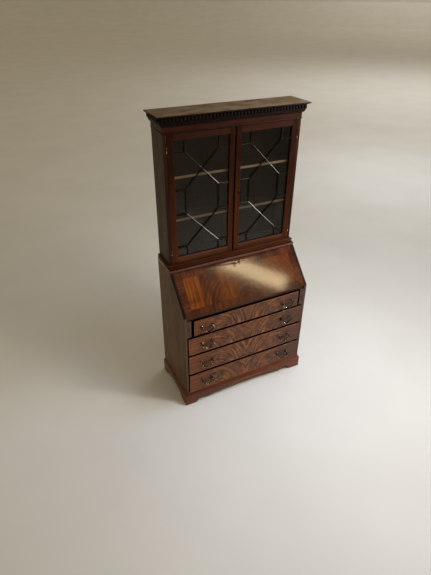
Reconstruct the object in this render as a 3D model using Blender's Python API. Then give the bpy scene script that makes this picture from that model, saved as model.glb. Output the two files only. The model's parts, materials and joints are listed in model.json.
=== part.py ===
"""Bureau bookcase (secretary desk) in mahogany: solid sub-parts, metres, +Z up, front faces -Y."""
import math

import bmesh
import bpy
from mathutils import Matrix, Vector

# ---------------------------------------------------------------- driving sizes
WIDTH = 0.940             # bureau carcass, side to side
DEPTH = 0.4245            # bureau carcass, back to drawer fronts
SIDE_T = 0.018            # bureau side thickness
CARCASS_FOOT = 0.0768     # underside of the bureau sides, on the plinth boards
DRAWER_FLOOR = 0.105      # underside of the lowest drawer front
DRAWER_H = (0.1270, 0.1450, 0.1610, 0.1584)   # drawer fronts, top to bottom
FRONT_GAP = 0.0090        # dark line between two drawer fronts
FRONT_T = 0.020           # drawer front thickness inside the carcass
FRONT_OUT = 0.004         # drawer fronts standing proud of the carcass
FRONT_SIDE = 0.0035       # gap beside a drawer front
RAIL_IN = 0.005           # drawer rails, behind the carcass front
FALL_T = 0.018
SLOPE_RISE = 0.2220       # slope, front corner to underside of the bureau top
TOP_T = 0.020             # bureau top thickness
LEDGE = 0.0387            # bureau top in front of the bookcase
SETBACK = 0.014           # bureau top beside the bookcase
UPPER_DEPTH = 0.1805      # bookcase, back to door faces
UPPER_SIDE_T = 0.019
WAIST_H = 0.0220          # moulding between bureau and bookcase
DOOR_H = 0.8083
DOOR_T = 0.020
HEAD_H = 0.103            # top of the doors to the top of the cornice
CORNICE_H = 0.0600        # cornice with its cap
CORNICE_OUT = 0.0367      # cornice projection beyond the bookcase
CAP_T = 0.008
PLINTH_OUT = 0.0128       # plinth projection beyond the bureau
FOOT_W = 0.080            # bracket foot along the front
GAP = 0.0003              # clearance between fixed pieces
SLIDE = 0.0010            # clearance around moving pieces
BOARD_T = 0.012           # dust boards
BACK_T = 0.010
BACK_INSET = 0.002
LOPER_W = 0.0294
LOPER_L = 0.360
DIVIDER_T = 0.010
SHELF_T = 0.015
SHELF_SHARE = (0.345, 0.672)   # shelves, as shares of the height inside
STILE_W = 0.0418          # outer stile of a door
MEETING_W = 0.035         # meeting stile
RAIL_LOW = 0.0423
RAIL_TOP = 0.037
DOOR_SPLIT = 0.005        # half the gap between the doors
BAR_W = 0.0085
BAR_SIDE = 0.1907         # glazing uprights, as a share of the glass width
BAR_SHARE = (0.0859, 0.3886, 0.6026, 0.9049)   # glazing nodes, as shares of the glass height
POST_X = 0.0365           # half the spacing of the two posts of a handle
POST_OUT = 0.018          # pivot of the bail in front of the drawer face
POST_TIP = 0.0235
HANDLE_IN = 0.141         # middle of a handle to the carcass side
HANDLE_SHARE = (0.473, 0.521, 0.519, 0.521)    # bail pivots, as shares of each drawer front
KEY_SHARE = 0.5064        # door key, as a share of the door height
DENTIL_PITCH = 0.022
ROW_H = 0.074             # gallery drawers
BAY_HALF = 0.155          # half the open middle bay of the gallery

HALF = WIDTH / 2
INNER = HALF - SIDE_T
UHALF = HALF - SETBACK
UINNER = UHALF - UPPER_SIDE_T
BACK_Y = (DEPTH + FRONT_OUT + POST_TIP) / 2
TOP_DEPTH = UPPER_DEPTH + LEDGE
PLINTH_TOP = DRAWER_FLOOR - 0.003
RUN = DEPTH - TOP_DEPTH
SLOPE = math.atan2(SLOPE_RISE, RUN)
FALL_L = math.hypot(RUN, SLOPE_RISE) - 0.0023
LOWS = [DRAWER_FLOOR + sum(DRAWER_H[k + 1:]) + FRONT_GAP * (3 - k) for k in range(4)]
TOPS = [low + high for low, high in zip(LOWS, DRAWER_H)]
BOARD_UNDER = TOPS[0] + SLIDE
HINGE_Z = BOARD_UNDER + FALL_T
SLOPE_FOOT = HINGE_Z + FALL_T * math.cos(SLOPE)
HINGE_Y = -DEPTH + FALL_T * math.sin(SLOPE)
BOARD_Z = SLOPE_FOOT + SLOPE_RISE
TOP_Z = BOARD_Z + TOP_T
UPPER_FOOT = TOP_Z + WAIST_H
DOOR_FOOT = UPPER_FOOT + 0.002
DOOR_TOP = DOOR_FOOT + DOOR_H
TOTAL_H = DOOR_TOP + HEAD_H
DOOR_X = (DOOR_SPLIT, UINNER - 0.0012)
GLASS_X = (DOOR_X[0] + MEETING_W, DOOR_X[1] - STILE_W)
GLASS_Z = (DOOR_FOOT + RAIL_LOW, DOOR_TOP - RAIL_TOP)
KEY_Z = DOOR_FOOT + DOOR_H * KEY_SHARE
KEY_X = (GLASS_X[0] + DOOR_SPLIT) / 2
HANDLE_X = INNER - HANDLE_IN
DIVIDER_X = INNER - LOPER_W - 0.0021
NARROW = DIVIDER_X - DIVIDER_T - 0.0045
WIDE = INNER - FRONT_SIDE
REAR = -BACK_T - BACK_INSET - GAP
RAIL_Y = -DEPTH + RAIL_IN


# ---------------------------------------------------------------- scene and helpers
for old in list(bpy.data.objects):
    bpy.data.objects.remove(old, do_unlink=True)
PARTS = bpy.data.collections.new("bureau_bookcase")
CUTTERS = bpy.data.collections.new("cutters")
bpy.context.scene.collection.children.link(PARTS)
bpy.context.scene.collection.children.link(CUTTERS)


def material(name, color, rough=0.4, metal=0.0):
    mat = bpy.data.materials.new(name)
    mat.use_nodes = True
    bsdf = mat.node_tree.nodes["Principled BSDF"]
    bsdf.inputs["Base Color"].default_value = (*color, 1.0)
    bsdf.inputs["Roughness"].default_value = rough
    bsdf.inputs["Metallic"].default_value = metal
    return mat


COLORS = {
    "mahogany": ((0.20, 0.055, 0.025), 0.3, 0.0),
    "veneer": ((0.34, 0.12, 0.045), 0.25, 0.0),
    "oak": ((0.42, 0.27, 0.14), 0.6, 0.0),
    "brass": ((0.55, 0.40, 0.20), 0.35, 1.0),
    "steel": ((0.12, 0.11, 0.10), 0.4, 1.0),
    "glass": ((0.55, 0.60, 0.58), 0.05, 0.0),
    "leather": ((0.05, 0.12, 0.07), 0.5, 0.0),
}


def link(name, verts, faces, mat, origin=(0, 0, 0), tilt=0.0, cutter=False):
    """Make one object; verts are in the fit frame (back of the piece at y = 0) or local if tilted."""
    mesh = bpy.data.meshes.new(name)
    shift = Vector(origin) if tilt == 0.0 else Vector((0, 0, 0))
    mesh.from_pydata([Vector(v) - shift for v in verts], [], faces)
    bm = bmesh.new()
    bm.from_mesh(mesh)
    bmesh.ops.recalc_face_normals(bm, faces=bm.faces)
    bm.to_mesh(mesh)
    bm.free()
    obj = bpy.data.objects.new(name, mesh)
    obj.location = Vector(origin) + Vector((0, BACK_Y, 0))
    obj.rotation_euler = (tilt, 0, 0)
    if cutter:
        CUTTERS.objects.link(obj)
        obj.hide_render = True
        obj.display_type = "WIRE"
        return obj
    shade, rough, metal = COLORS[mat]
    mesh.materials.append(material(name + "_" + mat, shade, rough, metal))
    PARTS.objects.link(obj)
    return obj


def box_data(x0, x1, y0, y1, z0, z1):
    verts = [(x, y, z) for x in (x0, x1) for y in (y0, y1) for z in (z0, z1)]
    faces = [(0, 1, 3, 2), (4, 6, 7, 5), (0, 4, 5, 1), (2, 3, 7, 6), (0, 2, 6, 4), (1, 5, 7, 3)]
    return verts, faces


def box(name, x0, x1, y0, y1, z0, z1, mat, origin=(0, 0, 0), tilt=0.0):
    verts, faces = box_data(x0, x1, y0, y1, z0, z1)
    return link(name, verts, faces, mat, origin, tilt)


def join(pieces):
    """Put several (verts, faces) pairs that do not touch into one pair."""
    verts, faces = [], []
    for part_verts, part_faces in pieces:
        base = len(verts)
        verts += part_verts
        faces += [tuple(base + i for i in face) for face in part_faces]
    return verts, faces


def prism_data(outline, axis, lo, hi, shrink=None):
    """Extrude a flat outline; axis x takes (y, z) pairs, axis y takes (x, z), axis z takes (x, y)."""
    def place(pair, along):
        a, b = pair
        if axis == "x":
            return (along, a, b)
        if axis == "y":
            return (a, along, b)
        return (a, b, along)
    far = shrink if shrink else outline
    count = len(outline)
    verts = [place(p, lo) for p in outline] + [place(p, hi) for p in far]
    faces = [tuple(range(count)), tuple(range(2 * count - 1, count - 1, -1))]
    for i in range(count):
        j = (i + 1) % count
        faces.append((i, j, count + j, count + i))
    return verts, faces


def sweep_u(profile, half, front):
    """Run a moulding round the left side, the front and the right side with mitred corners."""
    rings = []
    for side, fore, z in profile:
        x = half + side
        y = -(front + fore)
        rings.append([(-x, 0, z), (-x, y, z), (x, y, z), (x, 0, z)])
    count = len(profile)
    verts = [rings[i][k] for k in range(4) for i in range(count)]
    faces = [tuple(range(count)), tuple(range(4 * count - 1, 3 * count - 1, -1))]
    for k in range(3):
        for i in range(count):
            j = (i + 1) % count
            faces.append((k * count + i, k * count + j, (k + 1) * count + j, (k + 1) * count + i))
    return verts, faces


def sweep_frame(profile, outer, inner):
    """Rectangular frame; each profile point is (side, offset, y): side picks the outer or inner edge."""
    rings = []
    for which, off, y in profile:
        x0, x1, z0, z1 = outer if which == "outer" else inner
        rings.append([(x0 - off, y, z0 - off), (x1 + off, y, z0 - off),
                      (x1 + off, y, z1 + off), (x0 - off, y, z1 + off)])
    count = len(profile)
    verts = [rings[i][k] for k in range(4) for i in range(count)]
    faces = []
    for k in range(4):
        n = (k + 1) % 4
        for i in range(count):
            j = (i + 1) % count
            faces.append((k * count + i, k * count + j, n * count + j, n * count + i))
    return verts, faces


def lathe_data(profile, steps, center, direction):
    """Turn (distance, radius) pairs round an axis through center along direction."""
    axis = Vector(direction).normalized()
    side = axis.orthogonal().normalized()
    up = axis.cross(side)
    verts = []
    for dist, radius in profile:
        for k in range(steps):
            angle = 2 * math.pi * (k + 0.5) / steps
            verts.append(tuple(Vector(center) + axis * dist
                               + (side * math.cos(angle) + up * math.sin(angle)) * radius))
    faces = [tuple(range(steps)), tuple(range(len(verts) - 1, len(verts) - steps - 1, -1))]
    for ring in range(len(profile) - 1):
        for k in range(steps):
            n = (k + 1) % steps
            a, b = ring * steps, (ring + 1) * steps
            faces.append((a + k, a + n, b + n, b + k))
    return verts, faces


def tube_data(points, radii, steps, normal=(0, 1, 0)):
    """Round bar along a flat path."""
    flat = Vector(normal)
    verts = []
    for i, point in enumerate(points):
        before = Vector(points[max(i - 1, 0)])
        after = Vector(points[min(i + 1, len(points) - 1)])
        tangent = (after - before).normalized()
        across = flat.cross(tangent).normalized()
        for k in range(steps):
            angle = 2 * math.pi * (k + 0.5) / steps
            verts.append(tuple(Vector(point) + (across * math.cos(angle)
                               + flat * math.sin(angle)) * radii[i]))
    faces = [tuple(range(steps)), tuple(range(len(verts) - 1, len(verts) - steps - 1, -1))]
    for ring in range(len(points) - 1):
        for k in range(steps):
            n = (k + 1) % steps
            a, b = ring * steps, (ring + 1) * steps
            faces.append((a + k, a + n, b + n, b + k))
    return verts, faces


def ring_data(center, major, minor, around, thick, flat, up):
    """Torus round center in the plane of the directions flat and up."""
    flat, up = Vector(flat), Vector(up)
    across = flat.cross(up)
    verts = []
    for i in range(around):
        a = 2 * math.pi * i / around
        out = flat * math.cos(a) + up * math.sin(a)
        for k in range(thick):
            b = 2 * math.pi * (k + 0.5) / thick
            verts.append(tuple(Vector(center) + out * (major + minor * math.cos(b))
                               + across * (minor * math.sin(b))))
    faces = []
    for i in range(around):
        j = (i + 1) % around
        for k in range(thick):
            n = (k + 1) % thick
            faces.append((i * thick + k, i * thick + n, j * thick + n, j * thick + k))
    return verts, faces


def boolean(obj, data, operation, origin=(0, 0, 0), tilt=0.0):
    tool = link(obj.name + "_" + operation.lower(), data[0], data[1], "oak", origin, tilt, True)
    mod = obj.modifiers.new(operation.lower(), "BOOLEAN")
    mod.operation = operation
    mod.object = tool
    mod.solver = "EXACT"


# ---------------------------------------------------------------- bureau carcass
def bureau_carcass():
    outline = [(0, CARCASS_FOOT), (-DEPTH, CARCASS_FOOT), (-DEPTH, SLOPE_FOOT),
               (-TOP_DEPTH, BOARD_Z - GAP), (0, BOARD_Z - GAP)]
    for name, x0, x1 in (("bureau_side_left", -HALF, -INNER), ("bureau_side_right", INNER, HALF)):
        link(name, *prism_data(outline, "x", x0, x1), "mahogany")
    wide = INNER - GAP
    box("bureau_bottom", -wide, wide, -DEPTH, REAR, DRAWER_FLOOR - 0.019, DRAWER_FLOOR - SLIDE, "oak")
    box("bureau_top", -HALF, HALF, -TOP_DEPTH, 0, BOARD_Z, TOP_Z, "mahogany")
    box("bureau_back", -wide, wide, -BACK_T - BACK_INSET, -BACK_INSET, CARCASS_FOOT,
        BOARD_Z - GAP, "oak")
    box("writing_board", -wide, wide, HINGE_Y + 0.0006, REAR, BOARD_UNDER, HINGE_Z, "mahogany")
    for number in (1, 2, 3):
        upper, lower = LOWS[number - 1] - SLIDE, TOPS[number] + SLIDE
        step = -DEPTH + FRONT_T + 0.0025
        section = [(RAIL_Y, lower), (RAIL_Y, upper), (REAR, upper), (REAR, upper - BOARD_T),
                   (step, upper - BOARD_T), (step, lower)]
        link("dust_board_%d" % number, *prism_data(section, "x", -wide, wide), "oak")
    board = LOWS[0] - SLIDE + GAP
    for name, sign in (("loper_divider_left", -1), ("loper_divider_right", 1)):
        x0, x1 = sorted((sign * (DIVIDER_X - DIVIDER_T), sign * DIVIDER_X))
        box(name, x0, x1, -DEPTH, REAR, board, BOARD_UNDER - GAP, "mahogany")


# ---------------------------------------------------------------- plinth and mouldings
def apron(reach, foot):
    """Lower edge of a bracket plinth from the middle out to the foot, as (distance, height)."""
    cusp = reach - foot - 0.115
    return [(0.0, 0.052), (cusp * 0.45, 0.049), (cusp * 0.8, 0.039), (cusp, 0.031),
            (cusp + 0.028, 0.033), (cusp + 0.050, 0.041), (cusp + 0.072, 0.042),
            (cusp + 0.092, 0.031), (cusp + 0.103, 0.014), (cusp + 0.115, 0.0)]


def plinth():
    top = CARCASS_FOOT - GAP
    thick = 0.021
    half = HALF + PLINTH_OUT - 0.0007
    front = DEPTH + PLINTH_OUT - 0.0007
    curve = apron(half, FOOT_W)
    lower = [(-x, z) for x, z in reversed(curve)] + curve[1:]
    outline = [(-half, 0.0)] + lower + [(half, 0.0), (half, top), (-half, top)]
    inside = [(math.copysign(abs(x) - thick, x) if abs(x) == half else x, z) for x, z in outline]
    link("plinth_front", *prism_data(outline, "y", -front, -front + thick, inside), "mahogany")
    foot_front, foot_back = FOOT_W, FOOT_W - 0.010
    span = front - foot_front - foot_back
    low = [(0.0, 0.0), (0.012, 0.016), (0.030, 0.034), (0.052, 0.040), (0.074, 0.034),
           (0.100, 0.040), (span / 2, 0.050)]
    arch = [(-foot_back - y, z) for y, z in low]
    arch += [(-front + foot_front + y, z) for y, z in reversed(low[:-1])]
    side = [(0.0, 0.0)] + arch + [(-front, 0.0), (-front, top), (0.0, top)]
    mitre = GAP * 1.5
    outer = [(y + (mitre if y == -front else 0), z) for y, z in side]
    inner = [(y + (thick + mitre if y == -front else 0), z) for y, z in side]
    for name, sign in (("plinth_left", -1), ("plinth_right", 1)):
        link(name, *prism_data(outer, "x", sign * half, sign * (half - thick), inner), "mahogany")
    edge = PLINTH_OUT
    low_z, high_z = CARCASS_FOOT, PLINTH_TOP
    ogee = [(GAP, low_z), (edge, low_z), (edge, low_z + 0.006), (edge - 0.0012, low_z + 0.010),
            (edge - 0.0042, low_z + 0.013), (edge - 0.0062, low_z + 0.0175),
            (edge - 0.0094, high_z - 0.002), (GAP, high_z)]
    link("plinth_moulding", *sweep_u([(o, o, z) for o, z in ogee], HALF, DEPTH), "mahogany")


def waist():
    low, high = TOP_Z + GAP, UPPER_FOOT
    span = high - low
    shape = [(GAP, 0.0), (0.0130, 0.0), (0.0128, 0.10), (0.0085, 0.30), (0.0080, 0.46),
             (0.0105, 0.54), (0.0128, 0.66), (0.0132, 0.80), (0.0118, 0.93), (0.0090, 1.0),
             (GAP, 1.0)]
    wide = 1.85
    profile = [(o, o if o == GAP else o * wide, low + span * k) for o, k in shape]
    link("waist_moulding", *sweep_u(profile, UHALF, UPPER_DEPTH), "mahogany")


# ---------------------------------------------------------------- bookcase
def bookcase():
    low = TOP_Z + GAP
    cap = TOTAL_H - CAP_T
    step = DOOR_TOP + 0.0020
    notch = UPPER_DEPTH - 0.0190
    outline = [(0, low), (-UPPER_DEPTH, low), (-UPPER_DEPTH, step), (-notch, step),
               (-notch, cap - GAP), (0, cap - GAP)]
    for name, x0, x1 in (("upper_side_left", -UHALF, -UINNER), ("upper_side_right", UINNER, UHALF)):
        link(name, *prism_data(outline, "x", x0, x1), "mahogany")
    wide = UINNER - GAP
    floor, ceiling = UPPER_FOOT, DOOR_TOP + 0.011
    box("upper_bottom", -wide, wide, -UPPER_DEPTH, REAR, low, DOOR_FOOT - 0.0017, "mahogany")
    box("upper_top", -wide, wide, -notch + 2 * GAP, REAR, ceiling, ceiling + 0.013, "mahogany")
    box("upper_back", -wide, wide, -BACK_T - BACK_INSET, -BACK_INSET, low, cap - GAP, "mahogany")
    for name, share in zip(("shelf_lower", "shelf_upper"), SHELF_SHARE):
        level = floor + (ceiling - floor) * share
        box(name, -wide, wide, -UPPER_DEPTH + DOOR_T + 0.0105, REAR, level - SHELF_T / 2,
            level + SHELF_T / 2, "mahogany")
    base = step + GAP
    under = TOTAL_H - CORNICE_H
    bead = DOOR_TOP + 0.0070
    back = -(UPPER_DEPTH - notch) + GAP
    shape = [(GAP, back, base), (0.0012, 0.0012, base), (0.0012, 0.0012, bead),
             (0.0040, 0.0040, bead + 0.0008), (0.0046, 0.0046, bead + 0.0025),
             (0.0040, 0.0040, bead + 0.0042), (0.0012, 0.0012, bead + 0.0050),
             (0.0012, 0.0012, under - GAP), (GAP, back, under - GAP)]
    link("frieze", *sweep_u(shape, UHALF, UPPER_DEPTH), "mahogany")
    cornice(under, cap, back)
    edge = CORNICE_OUT
    front = UPPER_DEPTH + edge
    box("cornice_cap", -UHALF - edge, UHALF + edge, -front, 0, cap, TOTAL_H, "mahogany")


def cornice(under, cap, back):
    tall = cap - GAP - under
    shape = [(0.0070, 0.0), (0.0100, 0.07), (0.0125, 0.17), (0.0150, 0.23), (0.0150, 0.33),
             (0.0190, 0.42), (0.0190, 0.90), (0.0270, 0.92), (0.0325, 1.0)]
    profile = [(GAP, back, under)] + [(o, o, under + tall * k) for o, k in shape]
    profile.append((GAP, back, cap - GAP))
    body = link("cornice", *sweep_u(profile, UHALF, UPPER_DEPTH), "mahogany")
    body.data.name = "cornice"
    low, high = under + tall * 0.50, under + tall * 0.87
    tooth, depth = DENTIL_PITCH * 0.58, 0.0085
    blocks = []
    face = UPPER_DEPTH + 0.0175
    count = int((2 * (UHALF + 0.019)) / DENTIL_PITCH)
    for k in range(count):
        x = (k - (count - 1) / 2) * DENTIL_PITCH
        blocks.append(box_data(x - tooth / 2, x + tooth / 2, -face - depth, -face, low, high))
    rows = int((UPPER_DEPTH - 0.004) / DENTIL_PITCH)
    for sign in (-1, 1):
        x0, x1 = sorted((sign * (UHALF + 0.0175), sign * (UHALF + 0.0175 + depth)))
        for k in range(rows):
            y = -UPPER_DEPTH + (k + 0.12) * DENTIL_PITCH
            blocks.append(box_data(x0, x1, y, y + tooth, low, high))
    boolean(body, join(blocks), "UNION")


# ---------------------------------------------------------------- glazed doors
def inset_polygon(points, amounts):
    """Move each edge of a convex clockwise or anticlockwise polygon inwards by its amount."""
    count = len(points)
    area = sum(points[i][0] * points[(i + 1) % count][1] - points[(i + 1) % count][0] * points[i][1]
               for i in range(count))
    turn = 1 if area > 0 else -1
    lines = []
    for i in range(count):
        (x0, z0), (x1, z1) = points[i], points[(i + 1) % count]
        size = math.hypot(x1 - x0, z1 - z0)
        nx, nz = -turn * (z1 - z0) / size, turn * (x1 - x0) / size
        lines.append((nx, nz, nx * x0 + nz * z0 + amounts[i]))
    result = []
    for i in range(count):
        a, b = lines[i - 1], lines[i]
        det = a[0] * b[1] - a[1] * b[0]
        result.append(((a[2] * b[1] - b[2] * a[1]) / det, (a[0] * b[2] - b[0] * a[2]) / det))
    return result


def panes(x0, x1, z0, z1):
    """The thirteen panes of one door; the number after each corner insets the edge that follows."""
    mid = (x0 + x1) / 2
    left, right = x0 + (x1 - x0) * BAR_SIDE, x1 - (x1 - x0) * BAR_SIDE
    b0, b1, b2, b3 = [z0 + (z1 - z0) * share for share in BAR_SHARE]
    low, high = (b0 + b1) / 2, (b2 + b3) / 2
    w = BAR_W / 2
    rim = 0.003
    shapes = []
    for edge, node in ((x0, left), (x1, right)):
        shapes.append([(edge, b3, w), (node, b3, w), (node, z1, rim), (edge, z1, rim)])
        shapes.append([(edge, b3, w), (node, b3, w), (mid, high, w), (node, b2, w), (edge, b2, rim)])
        shapes.append([(edge, b1, w), (node, b1, w), (node, b2, w), (edge, b2, rim)])
        shapes.append([(edge, b1, w), (node, b1, w), (mid, low, w), (node, b0, w), (edge, b0, rim)])
        shapes.append([(edge, z0, rim), (node, z0, w), (node, b0, w), (edge, b0, rim)])
    shapes.append([(left, b3, w), (left, z1, rim), (right, z1, w), (right, b3, w), (mid, high, w)])
    shapes.append([(mid, high, w), (right, b2, w), (right, b1, w), (mid, low, w), (left, b1, w),
                   (left, b2, w)])
    shapes.append([(left, b0, w), (left, z0, rim), (right, z0, w), (right, b0, w), (mid, low, w)])
    return [inset_polygon([(x, z) for x, z, d in shape], [d for x, z, d in shape]) for shape in shapes]


def door(side, sign):
    near, far = DOOR_X
    front, back = -UPPER_DEPTH, -UPPER_DEPTH + DOOR_T
    hinge = (sign * far, front, 0)
    outer = sorted((sign * near, sign * far)) + [DOOR_FOOT, DOOR_TOP]
    inner = sorted((sign * GLASS_X[0], sign * GLASS_X[1])) + list(GLASS_Z)
    rebate, seat = 0.0055, back - 0.0085
    profile = [("outer", -0.0012, front), ("outer", 0.0, front + 0.0012), ("outer", 0.0, back),
               ("inner", rebate, back), ("inner", rebate, seat), ("inner", 0.0, seat),
               ("inner", 0.0, front + 0.0035), ("inner", 0.0015, front + 0.0012),
               ("inner", 0.0050, front)]
    frame = link("door_%s_frame" % side, *sweep_frame(profile, outer, inner), "mahogany", hinge)
    if sign > 0:
        hole = lathe_data([(-0.002, 0.0036), (0.012, 0.0036)], 10,
                          (KEY_X, front, KEY_Z), (0, 1, 0))
        boolean(frame, hole, "DIFFERENCE")
    edge = rebate - 0.0007
    box("door_%s_glass" % side, inner[0] - edge, inner[1] + edge, seat + GAP, seat + 0.0033,
        inner[2] - edge, inner[3] + edge, "glass", hinge)
    trim = GAP
    x0, x1, z0, z1 = inner[0] + trim, inner[1] - trim, inner[2] + trim, inner[3] - trim
    lattice = box("door_%s_astragals" % side, x0, x1, front + 0.0020, seat - GAP, z0, z1,
                  "mahogany", hinge)
    cuts = [prism_data(shape, "y", front - 0.005, seat + 0.005) for shape in panes(x0, x1, z0, z1)]
    boolean(lattice, join(cuts), "DIFFERENCE")


# ---------------------------------------------------------------- keys
def key(name, origin, tilt, out, up, across):
    """Shaft along out from inside the lock, ring bow at the end."""
    out, up, across = Vector(out), Vector(up), Vector(across)
    start = Vector(origin) if tilt == 0.0 else Vector((0, 0, 0))
    shaft = lathe_data([(-0.011, 0.0024), (0.030, 0.0024), (0.031, 0.0036), (0.033, 0.0036),
                        (0.034, 0.0024), (0.037, 0.0024)], 10, start, out)
    obj = link(name, *shaft, "steel", origin, tilt)
    bow = ring_data(start + out * 0.0440, 0.0085, 0.0021, 16, 6, out, up)
    boolean(obj, bow, "UNION", origin, tilt)
    return obj


# ---------------------------------------------------------------- slope fall
def fall():
    hinge = (0, HINGE_Y, HINGE_Z)
    wide = INNER - 0.0006
    panel = box("fall_panel", -wide, wide, 0, FALL_L, 0, FALL_T, "veneer", hinge, SLOPE)
    lock = FALL_L - 0.030
    x, y0, y1 = 0.385, 0.040, FALL_L - 0.052
    recess = box_data(-x, x, y0, y1, -0.004, 0.0017)
    hole = lathe_data([(FALL_T - 0.013, 0.0038), (FALL_T + 0.002, 0.0038)], 10, (0, lock, 0), (0, 0, 1))
    boolean(panel, join([recess, hole]), "DIFFERENCE", hinge, SLOPE)
    edge = 0.0004
    box("fall_leather", -x + edge, x - edge, y0 + edge, y1 - edge, 0.0002, 0.0014, "leather", hinge, SLOPE)
    face = FALL_T + GAP
    plate = lathe_data([(0, 0.0110), (0.0010, 0.0110), (0.0016, 0.0100)], 20, (0, lock, face), (0, 0, 1))
    shield = link("fall_lock_plate", *plate, "brass", hinge, SLOPE)
    bore = lathe_data([(-0.002, 0.0036), (0.004, 0.0036)], 10, (0, lock, face), (0, 0, 1))
    boolean(shield, bore, "DIFFERENCE", hinge, SLOPE)
    at = (0, HINGE_Y + lock * math.cos(SLOPE) - FALL_T * math.sin(SLOPE),
          HINGE_Z + lock * math.sin(SLOPE) + FALL_T * math.cos(SLOPE))
    key("fall_key", at, SLOPE, (0, 0, 1), (0, 1, 0), (1, 0, 0))


# ---------------------------------------------------------------- lopers
def lopers():
    low, high = LOWS[0], TOPS[0]
    for side, sign in (("left", -1), ("right", 1)):
        x0, x1 = sorted((sign * (INNER - 0.0008 - LOPER_W), sign * (INNER - 0.0008)))
        box("loper_%s" % side, x0, x1, -DEPTH, -DEPTH + LOPER_L, low, high, "mahogany")
        knob = lathe_data([(GAP, 0.0030), (0.005, 0.0028), (0.007, 0.0055), (0.011, 0.0062),
                           (0.014, 0.0045), (0.0152, 0.0015)], 12,
                          ((x0 + x1) / 2, -DEPTH, (low + high) / 2), (0, -1, 0))
        link("loper_knob_%s" % side, *knob, "brass")


# ---------------------------------------------------------------- drawers
def tray_data(x0, x1, y0, y1, z0, z1, wall, floor):
    """Open box; the rim is one ring of four quads."""
    outer = [(x0, y0), (x1, y0), (x1, y1), (x0, y1)]
    inner = [(x0 + wall, y0 + wall), (x1 - wall, y0 + wall), (x1 - wall, y1 - wall),
             (x0 + wall, y1 - wall)]
    verts = [(x, y, z0) for x, y in outer] + [(x, y, z1) for x, y in outer]
    verts += [(x, y, z1) for x, y in inner] + [(x, y, z0 + floor) for x, y in inner]
    faces = [(0, 1, 2, 3), (12, 13, 14, 15)]
    for k in range(4):
        n = (k + 1) % 4
        faces.append((k, n, 4 + n, 4 + k))
        faces.append((4 + k, 4 + n, 8 + n, 8 + k))
        faces.append((8 + k, 8 + n, 12 + n, 12 + k))
    return verts, faces


POST = [(-0.004, 0.0105), (0.0010, 0.0105), (0.0022, 0.0080), (0.0032, 0.0036), (0.0120, 0.0030),
        (0.0145, 0.0042), (0.0180, 0.0050), (0.0212, 0.0040), (0.0228, 0.0022), (0.0235, 0.0010)]
BAIL = [(0.0395, 0.0), (0.0424, 0.0), (0.0444, -0.0010), (0.0455, -0.0040), (0.0451, -0.0090),
        (0.0420, -0.0150), (0.0352, -0.0196), (0.0275, -0.0236), (0.0203, -0.0292),
        (0.0117, -0.0342), (0.0042, -0.0362)]
BAIL_R = [0.0017, 0.0017, 0.0018, 0.0020, 0.0022, 0.0023, 0.0023, 0.0024, 0.0026, 0.0031, 0.0036]


def drawer(number, half, low, high, box_high):
    face = -DEPTH - FRONT_OUT
    front = box("drawer_%d_front" % number, -half, half, face, -DEPTH + FRONT_T, low, high, "veneer")
    level = low + (high - low) * HANDLE_SHARE[number - 1]
    posts, bores = [], []
    for sign in (-1, 1):
        for end in (-1, 1):
            x = sign * HANDLE_X + end * POST_X
            posts.append(lathe_data(POST, 10, (x, face, level), (0, -1, 0)))
            bores.append(lathe_data([(0.0005, 0.0025), (0.008, 0.0025)], 8,
                                    (x, face - POST_OUT, level), (end, 0, 0)))
    boolean(front, join(posts), "UNION")
    boolean(front, join(bores), "DIFFERENCE")
    for side, sign in (("left", -1), ("right", 1)):
        middle = Vector((sign * HANDLE_X, face - POST_OUT, level))
        path = [middle + Vector((x, 0, z)) for x, z in BAIL]
        path += [middle + Vector((-x, 0, z)) for x, z in reversed(BAIL)]
        link("bail_%d_%s" % (number, side), *tube_data(path, BAIL_R + BAIL_R[::-1], 8), "brass", middle)
    rear = REAR - 0.010
    wall = 0.010
    data = tray_data(-half, half, -DEPTH + FRONT_T + GAP, rear, low, box_high, wall, 0.008)
    link("drawer_%d_box" % number, *data, "oak")


def drawers():
    ceilings = [BOARD_UNDER] + [low - SLIDE - BOARD_T for low in LOWS[:3]]
    for k in range(4):
        drawer(k + 1, NARROW if k == 0 else WIDE, LOWS[k], TOPS[k], ceilings[k] - 0.004)


# ---------------------------------------------------------------- fitted interior
def interior():
    wide = INNER - 0.0006
    low, high = HINGE_Z + GAP, BOARD_Z - 0.0022
    front = -(TOP_DEPTH - 0.0290)
    back = REAR
    body = box("gallery", -wide, wide, front, back, low, high, "mahogany")
    wall = 0.007
    row = low + ROW_H
    bay = BAY_HALF
    cuts = []
    deep = back - 0.006
    for x0, x1 in ((-wide + wall, -bay - wall / 2), (bay + wall / 2, wide - wall)):
        cuts.append(box_data(x0, x1, front - 0.01, deep, low + 0.006, row - wall / 2))
    cuts.append(box_data(-bay + wall / 2, bay - wall / 2, front - 0.01, deep, low + 0.006,
                         high - 0.007))
    holes = 3
    for sign in (-1, 1):
        span = (wide - wall - bay - wall / 2) / holes
        for k in range(holes):
            a = bay + wall / 2 + k * span
            b = a + span - (wall if k < holes - 1 else 0)
            x0, x1 = sorted((sign * a, sign * b))
            cuts.append(box_data(x0, x1, front - 0.01, deep, row + wall / 2, high - 0.007))
    boolean(body, join(cuts), "DIFFERENCE")
    for side, sign in (("left", -1), ("right", 1)):
        x0, x1 = sorted((sign * (bay + wall / 2 + SLIDE), sign * (wide - wall - SLIDE)))
        data = tray_data(x0, x1, front + 0.002, deep - 0.003, low + 0.0065, row - wall / 2 - SLIDE,
                         0.006, 0.005)
        tray = link("gallery_drawer_%s" % side, *data, "mahogany")
        knob = lathe_data([(-0.004, 0.0026), (0.003, 0.0026), (0.005, 0.0050), (0.008, 0.0052),
                           (0.0105, 0.0025)], 10,
                          ((x0 + x1) / 2, front + 0.002, (low + row) / 2), (0, -1, 0))
        boolean(tray, knob, "UNION")


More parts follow.
